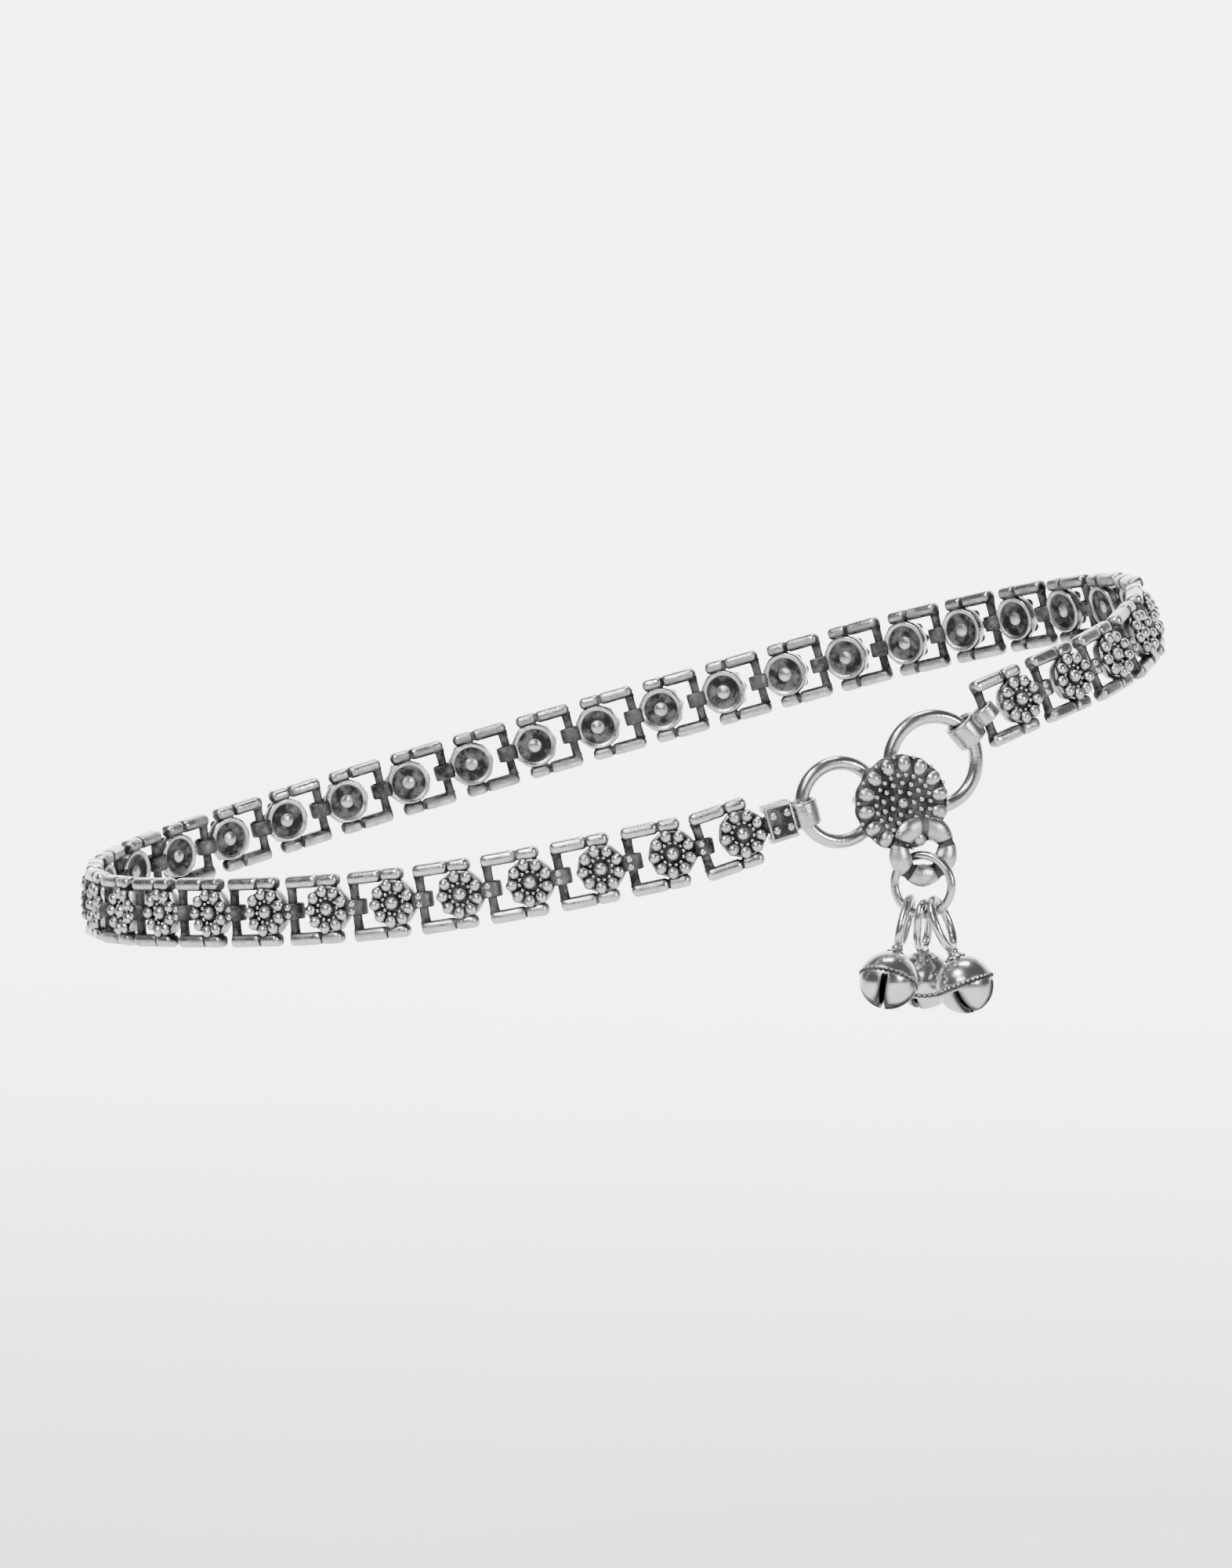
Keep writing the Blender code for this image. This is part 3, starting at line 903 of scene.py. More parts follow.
@dataclass(frozen=True)
class Route:
    """The closed loop that the band follows: an ellipse from above, lifted by shares of its rise.

    Attributes:
        half_length: Half of the ellipse's length, along x.
        half_width: Half of its width, along y.
        rise: The height that the lifts are shares of.
        links: Links of the band.
        start: Angle of the first crossbar, in degrees.
        lean: How far the links face upward at the end of the loop that x points to.
        lifts: Angle in degrees and share of the rise, round the loop.
        step_range: Least and most angle from one crossbar to the next, in degrees.
        pitch_range: Least and most pitch that is tried.
    """

    half_length: float = 51.4
    half_width: float = 34.0
    rise: float = 14.6
    links: int = 38
    start: float = 317.5
    lean: float = 0.45
    lifts: tuple[tuple[float, float], ...] = (
        (8.0, 1.0),
        (35.0, 0.93),
        (62.0, 0.63),
        (90.0, 0.15),
        (118.0, -0.33),
        (145.0, -0.7),
        (172.0, -0.9),
        (200.0, -0.96),
        (228.0, -0.885),
        (247.0, -0.79),
        (261.0, -0.66),
        (275.0, -0.486),
        (288.0, -0.3),
        (304.0, 0.11),
        (319.0, 0.473),
        (338.0, 0.72),
        (350.0, 0.842),
    )
    step_range: tuple[float, float] = (1.0, 25.0)
    pitch_range: tuple[float, float] = (5.0, 8.0)

    def height(self, turn: float) -> float:
        """Height of the loop, by a smooth curve through the lifts.

        Args:
            turn: The angle in degrees.

        Returns:
            The height there.
        """
        knots = [(a + lap, self.rise * h) for lap in (-360.0, 0.0, 360.0) for a, h in self.lifts]
        turn = turn % 360.0
        i = max(k for k in range(len(knots)) if knots[k][0] <= turn)
        (a0, h0), (a1, h1), (a2, h2), (a3, h3) = knots[i - 1 : i + 3]
        step = a2 - a1
        share = (turn - a1) / step
        rise_one = (h2 - h0) / (a2 - a0) * step
        rise_two = (h3 - h1) / (a3 - a1) * step
        return (
            h1 * (2 * share**3 - 3 * share**2 + 1)
            + rise_one * (share**3 - 2 * share**2 + share)
            + h2 * (3 * share**2 - 2 * share**3)
            + rise_two * (share**3 - share**2)
        )

    def point(self, turn: float) -> Vector:
        """The point of the loop at an angle."""
        along, across = math.cos(math.radians(turn)), math.sin(math.radians(turn))
        return Vector((self.half_length * along, self.half_width * across, self.height(turn)))

    def outward(self, turn: float) -> Vector:
        """The level direction away from the ankle at an angle."""
        around = math.radians(turn)
        across, along = self.half_width * math.cos(around), self.half_length * math.sin(around)
        return Vector((across, along, 0.0)).normalized()

    def next_station(self, turn: float, pitch: float) -> float:
        """The angle of the crossbar a pitch past the one at another angle."""
        here = self.point(turn)
        low, high = (turn + step for step in self.step_range)
        return halve(low, high, lambda at: (self.point(at) - here).length < pitch)

    def stations(self, pitch: float) -> list[float]:
        """Set out the crossbars.

        Args:
            pitch: Distance from each to the next.

        Returns:
            Their angles in degrees.
        """
        angles = [self.start]
        for _ in range(self.links):
            angles.append(self.next_station(angles[-1], pitch))
        return angles

    def solve_pitch(self, chord: float) -> float:
        """Find the pitch that closes the loop.

        Args:
            chord: Distance that the clasp needs between the last crossbar and the first.

        Returns:
            The pitch.
        """

        def too_short(pitch: float) -> bool:
            """Whether the links leave more than the chord open."""
            last = self.stations(pitch)[-1]
            gap = (self.point(last) - self.point(self.start)).length
            return self.start + 360.0 > last and gap > chord

        return halve(*self.pitch_range, too_short)

    def frames(self, pitch: float) -> list[Matrix]:
        """Set out the links.

        Args:
            pitch: Distance from each crossbar to the next.

        Returns:
            Each link's frame: x to the next crossbar, z up the link, y inward.
        """
        angles = self.stations(pitch)
        made = []
        for one, two in zip(angles, angles[1:]):
            here, there = self.point(one), self.point(two)
            out = self.outward((one + two) / 2)
            out = out + Vector((0.0, 0.0, self.lean * max(0.0, out.x) ** 2))
            made.append(to_frame(here, there - here, out.cross(there - here)))
        return made


@dataclass(frozen=True)
class Plaque:
    """One band link: two rails, a dotted flower, a crossbar pin and a hook tube.

    Attributes:
        pitch: Distance from its crossbar to the next.
        rail_inner: Height where a rail starts.
        rail_outer: Height where it ends.
        rail_depth: Half of its depth.
        rail_start: Where it begins along the link.
        rail_share: Where it ends, as a share of the pitch.
        waist: Where it is pinched, as a share of its length.
        tip: The share of its length that each rounded end takes.
        flower_share: The flower's centre, as a share of the pitch.
        radius_share: The flower's radius, as a share of the pitch.
        back: Level of the flower's back.
        face_drop: How far the hook tube is thinner than the solid's, to make room for its grains.
    """

    pitch: float
    rail_inner: float = 2.05
    rail_outer: float = 3.3
    rail_depth: float = 0.8
    rail_start: float = -0.5
    rail_share: float = 0.76
    waist: float = 0.62
    tip: float = 0.08
    flower_share: float = 0.58
    radius_share: float = 0.342
    back: float = -0.5
    face_drop: float = 0.15

    def shape(self, shop: Workshop) -> Shape:
        """Make the whole plaque.

        Args:
            shop: The finishes and trees.

        Returns:
            The plaque in its own frame.
        """
        made = Shape().join(self._rail(-1)).join(self._rail(1)).join(self._pin())
        made.join(self._flower(shop), facing_frame((self.flower_share * self.pitch, 0, 0)))
        return made.join(self._hook(shop))

    def _rail(self, side: int) -> Shape:
        """A rail of two worn lobes, a long one and a short one.

        Args:
            side: 1 for the upper rail, -1 for the lower one.

        Returns:
            The closed shell.
        """
        end = self.rail_share * self.pitch
        length = end - self.rail_start
        middle = side * (self.rail_inner + self.rail_outer) / 2
        half = (self.rail_outer - self.rail_inner) / 2
        tips = [0.0, 0.006, 0.02, 0.045, self.tip]
        body = [0.15, 0.28, 0.42, 0.52, 0.57, 0.6, self.waist, 0.64, 0.67, 0.72, 0.8, 0.87]
        shares = tips + body + [1.0 - t for t in reversed(tips)]
        path = [Vector((self.rail_start + length * s, 0, middle)) for s in shares]

        def waist(share: float) -> float:
            """How pinched the rail is at a share of its length."""
            return bell_curve(share - self.waist, 0.03)

        def fullness(share: float) -> float:
            """Size of the rail's section at a share of its length."""
            tip = min(share, 1.0 - share) / self.tip
            rounded = 1.0 if tip > 1.0 else math.sqrt(max(0.0, 1 - (1 - tip) ** 2))
            return max(0.12, rounded) * (1.0 - 0.28 * waist(share))

        def section(at: float, turn: float) -> tuple[float, float]:
            """The soft square section."""
            full = fullness(shares[round(at * (len(shares) - 1))])
            wide, deep = squarer(math.cos(turn), 0.7), squarer(math.sin(turn), 0.7)
            return wide * half * full, deep * self.rail_depth * full

        def patina(at: float, turn: float) -> float:
            """Dark oxide at the waist, darker at the tips, and painted shade on the inner side and behind.
            """
            share = shares[round(at * (len(shares) - 1))]
            # Painted shade: the side toward the flower and the back of the rail are darkened.
            inner = max(0.0, math.cos(turn) * side)
            behind = max(0.0, math.sin(turn))
            tip = max(0.0, 1.0 - min(share, 1.0 - share) / 0.05)
            return min(1.0, 0.9 * waist(share) + 0.85 * inner + 0.35 * behind + 0.5 * tip)

        return sweep(path, section, patina, sides=14, closed=False)

    def _pin(self) -> Shape:
        """The crossbar between the rails.

        Returns:
            The closed shell, thicker and darker at its soldered ends.
        """
        reach = self.rail_inner + 0.3
        path = [Vector((0, 0, -reach + 2 * reach * i / 12)) for i in range(13)]

        def section(share: float, turn: float) -> tuple[float, float]:
            """The round section."""
            radius = PLAY.pin * (1.0 + 0.25 * (abs(2 * share - 1) ** 8))
            return radius * math.cos(turn), radius * math.sin(turn)

        def patina(share: float, turn: float) -> float:
            """Painted shade over the whole bar, as of a recessed bar, darkest at the rails."""
            return 0.68 + 0.32 * abs(2 * share - 1) ** 6

        return sweep(path, section, patina, sides=14, closed=False)

    def _flower(self, shop: Workshop) -> Shape:
        """The flower with its grains in front and its dished back.

        Args:
            shop: The finishes and trees.

        Returns:
            The flower, facing along its own z.
        """
        radius = self.radius_share * self.pitch
        front = [(0, 0.45), (0.5, 0.4), (0.66, 0.42), (0.8, 0.6), (0.93, 0.58), (0.985, 0.42), (1, 0.15)]
        edge = [(0.99, 0.2), (0.965, 0.06), (0.92, 0.0), (0.86, 0.0)]
        dish = [(0.8, 0.05), (0.7, 0.26), (0.34, 0.34), (0.22, 0.16), (0, 0.1)]
        profile = profile_rows(radius, 0.0, front) + profile_rows(radius, self.back, edge + dish)

        def patina(r: float, h: float) -> float:
            """Black between the grains, dark in the dish, bright on the rims and the boss."""
            if h < 0.0:
                return 0.3 if r > 0.76 * radius or r < 0.26 * radius else 0.85
            return 0.4 if r > 0.9 * radius else 1.0

        return shop.solder(
            lathe(profile, patina, sides=45, scallop=scallops(9, 0.94 * radius)),
            GrainRing(9, 0.75 * radius, 0.245 * radius, stretch=1.1, level=0.69, start=20.0),
            GrainRing(12, 0.46 * radius, 0.1 * radius, level=0.5, start=5.0),
            GrainRing(1, 0.0, 0.3 * radius, lift=1.05, level=0.56),
        )

    def _hook(self, shop: Workshop) -> Shape:
        """The hook tube round the next crossbar.

        Args:
            shop: The finishes and trees.

        Returns:
            The tube with its bridge to the flower and two soldered grains on its face.
        """
        at = Matrix.Translation((self.pitch, 0, 0))
        # The hook tube and its bridge carry painted shade in the gap between plaques, darkest inside the
        # tube.
        tube = collar_tube(PLAY.hole, PLAY.outer - self.face_drop, PLAY.half_height, sides=28, patina=1.0)
        low, high = (-PLAY.outer - 0.2, -0.3, -0.5), (-PLAY.hole - 0.1, 0.15, 0.5)
        bridge = soft_box(low, high, edge=0.1, patina=0.8)
        grains = GrainRing(2, 0.36, 0.37, level=PLAY.outer - 0.38, start=90.0)
        made = Shape().join(tube, at).join(bridge, at)
        return shop.solder(made, grains, at=facing_frame((self.pitch, 0, 0)))


@dataclass
class Band:
    """The 38 plaques, dressed in four stretches.

    Attributes:
        route: The loop that it follows.
        shop: The finishes and trees.
        pitch: Distance from one crossbar to the next.
        wear_seed: What the draw of each stretch's wear starts from, with its number of links.
    """

    route: Route
    shop: Workshop
    pitch: float
    wear_seed: int = 7

    def build(self) -> list[bpy.types.Object]:
        """Make the four stretches.

        Returns:
            One object for each stretch.
        """
        master = Plaque(self.pitch).shape(self.shop).to_object("plaque_master")
        master.data.materials.append(self.shop.plaque)
        frames = self.route.frames(self.pitch)
        made = []
        for stretch in BandStretch:
            first, last = stretch.value
            obj = self._stretch(f"band_{stretch.name.lower()}", frames[first - 1 : last], master)
            names = [f"band_link_{i:02d}" for i in range(first, last + 1)]
            made.append(dress(obj, self.shop.plaque, Body.ANKLET, Slot.BAND, names))
        bpy.data.objects.remove(master)
        return made

    def _stretch(self, name: str, frames: Sequence[Matrix], master: bpy.types.Object) -> bpy.types.Object:
        """Set the master plaque on each frame of a stretch.

        Args:
            name: The stretch's name.
            frames: Its links' frames.
            master: The plaque that is repeated.

        Returns:
            The stretch as one plain mesh.
        """
        mesh = bpy.data.meshes.new(name + "_stations")
        mesh.from_pydata([at.translation * MM for at in frames], [], [])
        turns = mesh.attributes.new("turn", "FLOAT_VECTOR", "POINT")
        turns.data.foreach_set("vector", [c for at in frames for c in at.to_euler("XYZ")])
        holder = scene_object(name + "_stations", mesh)
        values = {"Plaque": master, "Wear Seed": self.wear_seed + len(frames)}
        plain = grow(holder, self.shop.band, values)
        plain.name = name
        return scene_object(name, plain)


def toward(angle: float, reach: float) -> tuple[float, float]:
    """A point of the clasp's layout at an angle in degrees and a reach from its middle."""
    turn = math.radians(angle)
    return reach * math.cos(turn), reach * math.sin(turn)


@dataclass(frozen=True)
class ClaspLayout:
    """The clasp on its own plane: first number along the band, second up."""

    disc_radius: float = 4.6
    disc_thick: float = 1.05
    wire: float = 0.68
    left_radius: float = 3.65
    right_radius: float = 4.25
    seat_left: float = 1.85
    seat_right: float = 0.85
    seat_right_angle: float = 45.0
    hook_radius: float = 0.45
    hook_middle_radius: float = 0.3
    hook_sag: float = 0.7
    eye_angle: float = -66.0
    eye_past: float = 0.25
    eye_radius: float = 2.3
    eye_width: float = 0.98
    eye_thick: float = 0.62
    eye_lumps: int = 5
    eye_swell: float = 0.12
    eye_rise: float = 0.2
    strap_wall: float = 0.42
    strap_play: float = 0.42
    strap_width: float = 2.4
    cap_block: float = 0.1
    cap_ear: float = 0.75
    cap_half_depth: float = 0.95
    cap_ear_half_depth: float = 0.62
    cap_left_angle: float = 196.0
    cap_right_angle: float = 41.0
    sink: float = 0.3

    @property
    def left_centre(self) -> tuple[float, float]:
        """The left ring's centre."""
        return -(self.seat_left + self.left_radius), 0.0

    @property
    def right_centre(self) -> tuple[float, float]:
        """The right ring's centre."""
        return toward(self.seat_right_angle, self.seat_right + self.right_radius)

    @property
    def past_wire(self) -> float:
        """Distance from a ring's wire to the surface of the hook beside it."""
        return self.wire + PLAY.gap

    @property
    def disc_back(self) -> float:
        """Level of the disc's back, clear of the rings."""
        return self.past_wire

    @property
    def disc_face(self) -> float:
        """Level of the disc's face."""
        return self.disc_back + self.disc_thick

    @property
    def hook_depth(self) -> float:
        """Level of the back hook's run."""
        return -(self.past_wire + 1.25 * self.hook_radius)

    @property
    def post_left(self) -> tuple[float, float]:
        """Where the hook leaves the disc, inside the left ring."""
        return -(self.seat_left + self.past_wire + self.hook_radius), 0.0

    @property
    def post_middle(self) -> tuple[float, float]:
        """The hook's middle post, between the rings."""
        return -(self.seat_left - self.past_wire - self.hook_middle_radius), -self.hook_sag

    @property
    def post_tip(self) -> tuple[float, float]:
        """The hook's tip, inside the right ring."""
        return toward(self.seat_right_angle, self.seat_right + self.past_wire + self.hook_radius)

    @property
    def eye_centre(self) -> tuple[float, float]:
        """The eye's centre."""
        return toward(self.eye_angle, self.disc_radius + self.eye_past)

    @property
    def eye_level(self) -> float:
        """The eye's level, in front of the disc's face."""
        return self.disc_face + self.eye_rise

    @property
    def eye_hole(self) -> float:
        """The radius left open in the eye."""
        return self.eye_radius - self.eye_width * (1 + self.eye_swell)

    @property
    def strap_inner(self) -> float:
        """Inner radius of a cap's strap."""
        return self.wire + self.strap_play

    @property
    def strap_outer(self) -> float:
        """Outer radius of a cap's strap."""
        return self.strap_inner + self.strap_wall

    @property
    def cap_half_height(self) -> float:
        """Half of the left cap's height."""
        return PLAY.half_height + PLAY.gap + self.cap_ear

    @property
    def end_left(self) -> tuple[float, float]:
        """The left cap's crossbar."""
        reach = PLAY.clear + self.cap_block + self.strap_outer
        across, up = toward(self.cap_left_angle, self.left_radius + reach)
        return self.left_centre[0] + across, self.left_centre[1] + up

    @property
    def end_right(self) -> tuple[float, float]:
        """The right cap's hook tube."""
        reach = PLAY.outer + self.strap_outer - self.sink
        across, up = toward(self.cap_right_angle, self.right_radius + reach)
        return self.right_centre[0] + across, self.right_centre[1] + up

    @property
    def chord(self) -> float:
        """Distance between the two crossbars that the clasp joins."""
        return math.dist(self.end_left, self.end_right)

    def frame(self, start: Vector, end: Vector) -> Matrix:
        """The clasp's frame between the last crossbar and the first.

        Args:
            start: The last crossbar's place.
            end: The first crossbar's place.

        Returns:
            The frame: x along the band, z up, y inward.
        """
        level = Vector((end.x - start.x, end.y - start.y, 0.0))
        slope = math.atan2(end.z - start.z, level.length)
        drawn = math.atan2(self.end_right[1] - self.end_left[1], self.end_right[0] - self.end_left[0])
        made = to_frame((0, 0, 0), level, (0, 0, 1)) @ Matrix.Rotation(drawn - slope, 4, "Y")
        middle = (flat(self.end_left) + flat(self.end_right)) / 2
        made.translation = (start + end) / 2 - made.to_3x3() @ middle
        return made


def flat(point: Sequence[float], level: float = 0.0) -> Vector:
    """A point of the clasp's layout in its frame, level millimetres outward."""
    return Vector((point[0], -level, point[1]))


def ring_tone_and_back_shade(share: float, turn: float) -> float:
    """Tone of a ring's wire, with painted shade that makes it a little darker at its back."""
    return 0.2 + 0.25 * max(0.0, math.sin(turn))


@dataclass
class Clasp:
    """The rosette disc with its eye and back hook, the two rings and the two end caps."""

    layout: ClaspLayout
    at: Matrix
    frames: list[Matrix]
    shop: Workshop

    def build(self) -> list[bpy.types.Object]:
        """Make and dress the clasp.

        Returns:
            Rosette, left ring, right ring, left cap and right cap.
        """
        lay = self.layout
        made = [self._rosette()]
        made.append(self._ring("ring_left", lay.left_centre, lay.left_radius))
        made.append(self._ring("ring_right", lay.right_centre, lay.right_radius))
        left = (lay.end_left, lay.left_centre, lay.left_radius, self.frames[-1])
        right = (lay.end_right, lay.right_centre, lay.right_radius, self.frames[0])
        made.append(self._cap("end_cap_left", *left, with_hook=False))
        made.append(self._cap("end_cap_right", *right, with_hook=True))
        return made

    def _ring(self, name: str, centre: tuple[float, float], radius: float) -> bpy.types.Object:
        """A smooth round wire ring.

        Args:
            name: The ring's name.
            centre: Its centre on the layout.
            radius: Its radius.

        Returns:
            The dressed ring.
        """
        path = [p + flat(centre) for p in oval(radius, radius, steps=96)]
        shape = sweep(path, round_section(self.layout.wire), ring_tone_and_back_shade, sides=20)
        obj = Shape().join(shape, self.at).to_object(name)
        return dress(obj, self.shop.wire, Body.ANKLET, Slot.WIRE, [name])

    def _rosette(self) -> bpy.types.Object:
        """Disc, eye and back hook in one.

        Returns:
            The dressed rosette.
        """
        made = Shape().join(self._disc(), facing_frame((0, 0, 0)))
        made.join(self._eye()).join(self._back_hook())
        obj = Shape().join(made, self.at).to_object("clasp_rosette")
        return dress(obj, self.shop.clasp, Body.ANKLET, Slot.BAND, ["clasp_rosette"])

    def _disc(self) -> Shape:
        """The disc: a sunk field of grains inside a border of large ones.

        Returns:
            The disc, facing along its own z.
        """
        lay = self.layout
        radius, face = lay.disc_radius, lay.disc_face
        front = [(0, -0.1), (0.5, -0.12), (0.56, 0.12), (0.62, 0.14), (0.9, 0.05)]
        front += [(0.97, -0.15), (0.985, -0.45)]
        behind = [(0.975, 0.15), (0.94, 0.0), (0.8, 0.0), (0, 0.0)]
        profile = profile_rows(radius, face, front) + profile_rows(radius, lay.disc_back, behind)

        def patina(r: float, h: float) -> float:
            """Bright on the plain back and black in front."""
            if h < lay.disc_back + 0.05:
                return 0.22
            return 0.85 if r < 0.53 * radius else 0.95

        return self.shop.solder(
            lathe(profile, patina, sides=84, scallop=scallops(14, 0.85 * radius)),
            GrainRing(14, 0.79 * radius, 0.7, stretch=1.22, lift=0.86, level=face + 0.05, start=12.9),
            GrainRing(14, 0.94 * radius, 0.21, lift=1.2, level=face + 0.02, start=0.0),
            GrainRing(22, 0.575 * radius, 0.27, lift=1.1, level=face + 0.12, start=4.0),
            GrainRing(13, 0.41 * radius, 0.3, lift=0.9, level=face - 0.02, start=10.0),
            GrainRing(7, 0.235 * radius, 0.29, lift=0.9, level=face - 0.02, start=3.0),
            GrainRing(1, 0.0, 0.55, lift=0.95, level=face + 0.05),
        )

    def _eye(self) -> Shape:
        """The beaded eye under the disc.

        Returns:
            The closed shell in the clasp's frame.
        """
        lay = self.layout
        centre = flat(lay.eye_centre, lay.eye_level)
        path = [p + centre for p in oval(lay.eye_radius, lay.eye_radius, steps=120)]

        def wave(share: float) -> float:
            """Place in a lump at a share round the eye, 0 on its crest and 0.5 in the groove."""
            return (share * lay.eye_lumps + lay.eye_lumps / 4) % 1.0

        def section(share: float, turn: float) -> tuple[float, float]:
            """The oval section, full on a crest and pinched in a groove."""
            at = wave(share)
            size = 1.0 + lay.eye_swell * math.cos(2 * math.pi * at) - 0.12 * bell_curve(at - 0.5, 0.07)
            return lay.eye_width * size * math.cos(turn), lay.eye_thick * size * math.sin(turn)

        def patina(share: float, turn: float) -> float:
            """Oxide dark in the grooves, and painted shade behind and on the side toward the hole."""
            # Painted shade on the back and on the side toward the hole.
            behind = 0.3 * max(0.0, math.sin(turn)) + 0.35 * max(0.0, -math.cos(turn))
            return min(1.0, 0.12 + bell_curve(wave(share) - 0.5, 0.13) + behind)

        return sweep(path, section, patina, sides=20)

    def _back_hook(self) -> Shape:
        """The plain hook behind the disc: a run through three points, two posts and a tip.

        Returns:
            The hook in the clasp's frame.
        """
        lay = self.layout
        deep = lay.hook_depth
        top = (lay.disc_back + lay.disc_face) / 2
        left, middle, tip = (flat(post, deep) for post in (lay.post_left, lay.post_middle, lay.post_tip))
        made = Shape()
        for start, end, radius in (
            (flat(lay.post_left, top), left, lay.hook_radius),
            (tip, flat(lay.post_tip, lay.disc_back - PLAY.gap), lay.hook_radius),
            (middle, flat(lay.post_middle, top), lay.hook_middle_radius),
            (left, middle, lay.hook_radius),
            (middle, tip, lay.hook_radius),
        ):
            made.join(wire_run(start, end, radius))
        return made

    def _cap(
        self,
        name: str,
        end: tuple[float, float],
        centre: tuple[float, float],
        radius: float,
        link: Matrix,
        with_hook: bool,
    ) -> bpy.types.Object:
        """An end cap with its folded strap round the ring.

        Args:
            name: The cap's name.
            end: Its chain end on the layout.
            centre: The ring's centre.
            radius: The ring's radius.
            link: The frame of the link that it joins.
            with_hook: Whether it hooks a crossbar, or holds one.

        Returns:
            The dressed cap.
        """
        out = Vector((end[0] - centre[0], end[1] - centre[1])).normalized()
        seat = self.at @ flat((centre[0] + radius * out.x, centre[1] + radius * out.y))
        tangent = self.at.to_3x3() @ flat((-out.y, out.x))
        far = self.at @ flat(end)
        reach = (seat - far).length
        up = link.to_3x3() @ Vector((0, 0, 1))
        base = to_frame(far, seat - far, up)
        lay = self.layout
        made = Shape()
        strap = collar_tube(lay.strap_inner, lay.strap_outer, lay.strap_width / 2, sides=40, patina=0.05)
        made.join(strap, to_frame(seat, seat - far, tangent))
        face = reach - lay.strap_inner - lay.strap_wall / 2
        deep, half = lay.cap_ear_half_depth, PLAY.half_height
        if with_hook:
            made.join(collar_tube(PLAY.hole, PLAY.outer, half, sides=28, patina=0.5), base)
            low, high = (PLAY.hole + PLAY.wall / 2, -deep, -half), (face, deep, half)
            made.join(soft_box(low, high, edge=0.2, patina=0.3), base)
        else:
            tall = lay.cap_half_height
            for side in (-1, 1):
                bottom, top = sorted((side * (half + PLAY.gap), side * tall))
                low, high = (-PLAY.pin - 0.15, -deep, bottom), (PLAY.clear + lay.sink, deep, top)
                made.join(soft_box(low, high, edge=0.2, patina=0.3), base)
            bar = wire_run(Vector((0, 0, -tall + 0.3)), Vector((0, 0, tall - 0.3)), PLAY.pin)
            made.join(bar, base)
            low, high = (PLAY.clear, -lay.cap_half_depth, -tall), (face, lay.cap_half_depth, tall)
            made.join(soft_box(low, high, edge=0.14, patina=0.3), base)
            made.join(self._cap_plate(face, tall), base)
        obj = made.to_object(name)
        return dress(obj, self.shop.clasp, Body.ANKLET, Slot.BAND, [name])

    def _cap_plate(self, face: float, tall: float) -> Shape:
        """The left cap's folded face plate with four grains on it.

        Args:
            face: Where the cap meets its strap.
            tall: Half of the cap's height.

        Returns:
            The plate in the cap's frame.
        """
        low, high = -PLAY.pin - 0.3, face
        level = PLAY.outer + 0.14
        reach = tall * 0.86
        made = soft_box((low, -level - 0.3, -reach), (high, -level, reach), edge=0.12, patina=1.0)
        for side in (-1, 1):
            fold = side * tall * 0.84
            start, end = (low + 0.1, -level - 0.2, fold - 0.16), (high, 0.0, fold + 0.16)
            made.join(soft_box(start, end, edge=0.08, patina=0.3))
        grains = GrainRing(4, 0.95, 0.42, level=level + 0.28, start=45.0)
        return self.shop.solder(made, grains, at=facing_frame(((low + high) / 2, 0, 0)))


def wire_run(start: Vector, end: Vector, radius: float) -> Shape:
    """A straight round wire with rounded ends.

    Args:
        start: Its first end.
        end: Its other end.
        radius: Its radius.

    Returns:
        The closed shell.
    """
    along = (end - start).normalized()
    side = ACROSS if abs(along.y) < 0.9 else Vector((1, 0, 0))
    blunt = 0.6
    length = (end - start).length + 2 * radius * blunt
    base = to_frame(start - along * radius * blunt, side.cross(along), along)
    profile: OUTLINE = [(0, length)]
    for share, drop in ((0.5, 0.1), (0.8, 0.3), (0.97, 0.65), (1.0, 1.0)):
        profile.append((radius * share, length - drop * radius * blunt))
    profile += [(r, length - h) for r, h in reversed(profile)]
    return Shape().join(lathe(profile, even(0.3), sides=18), base)


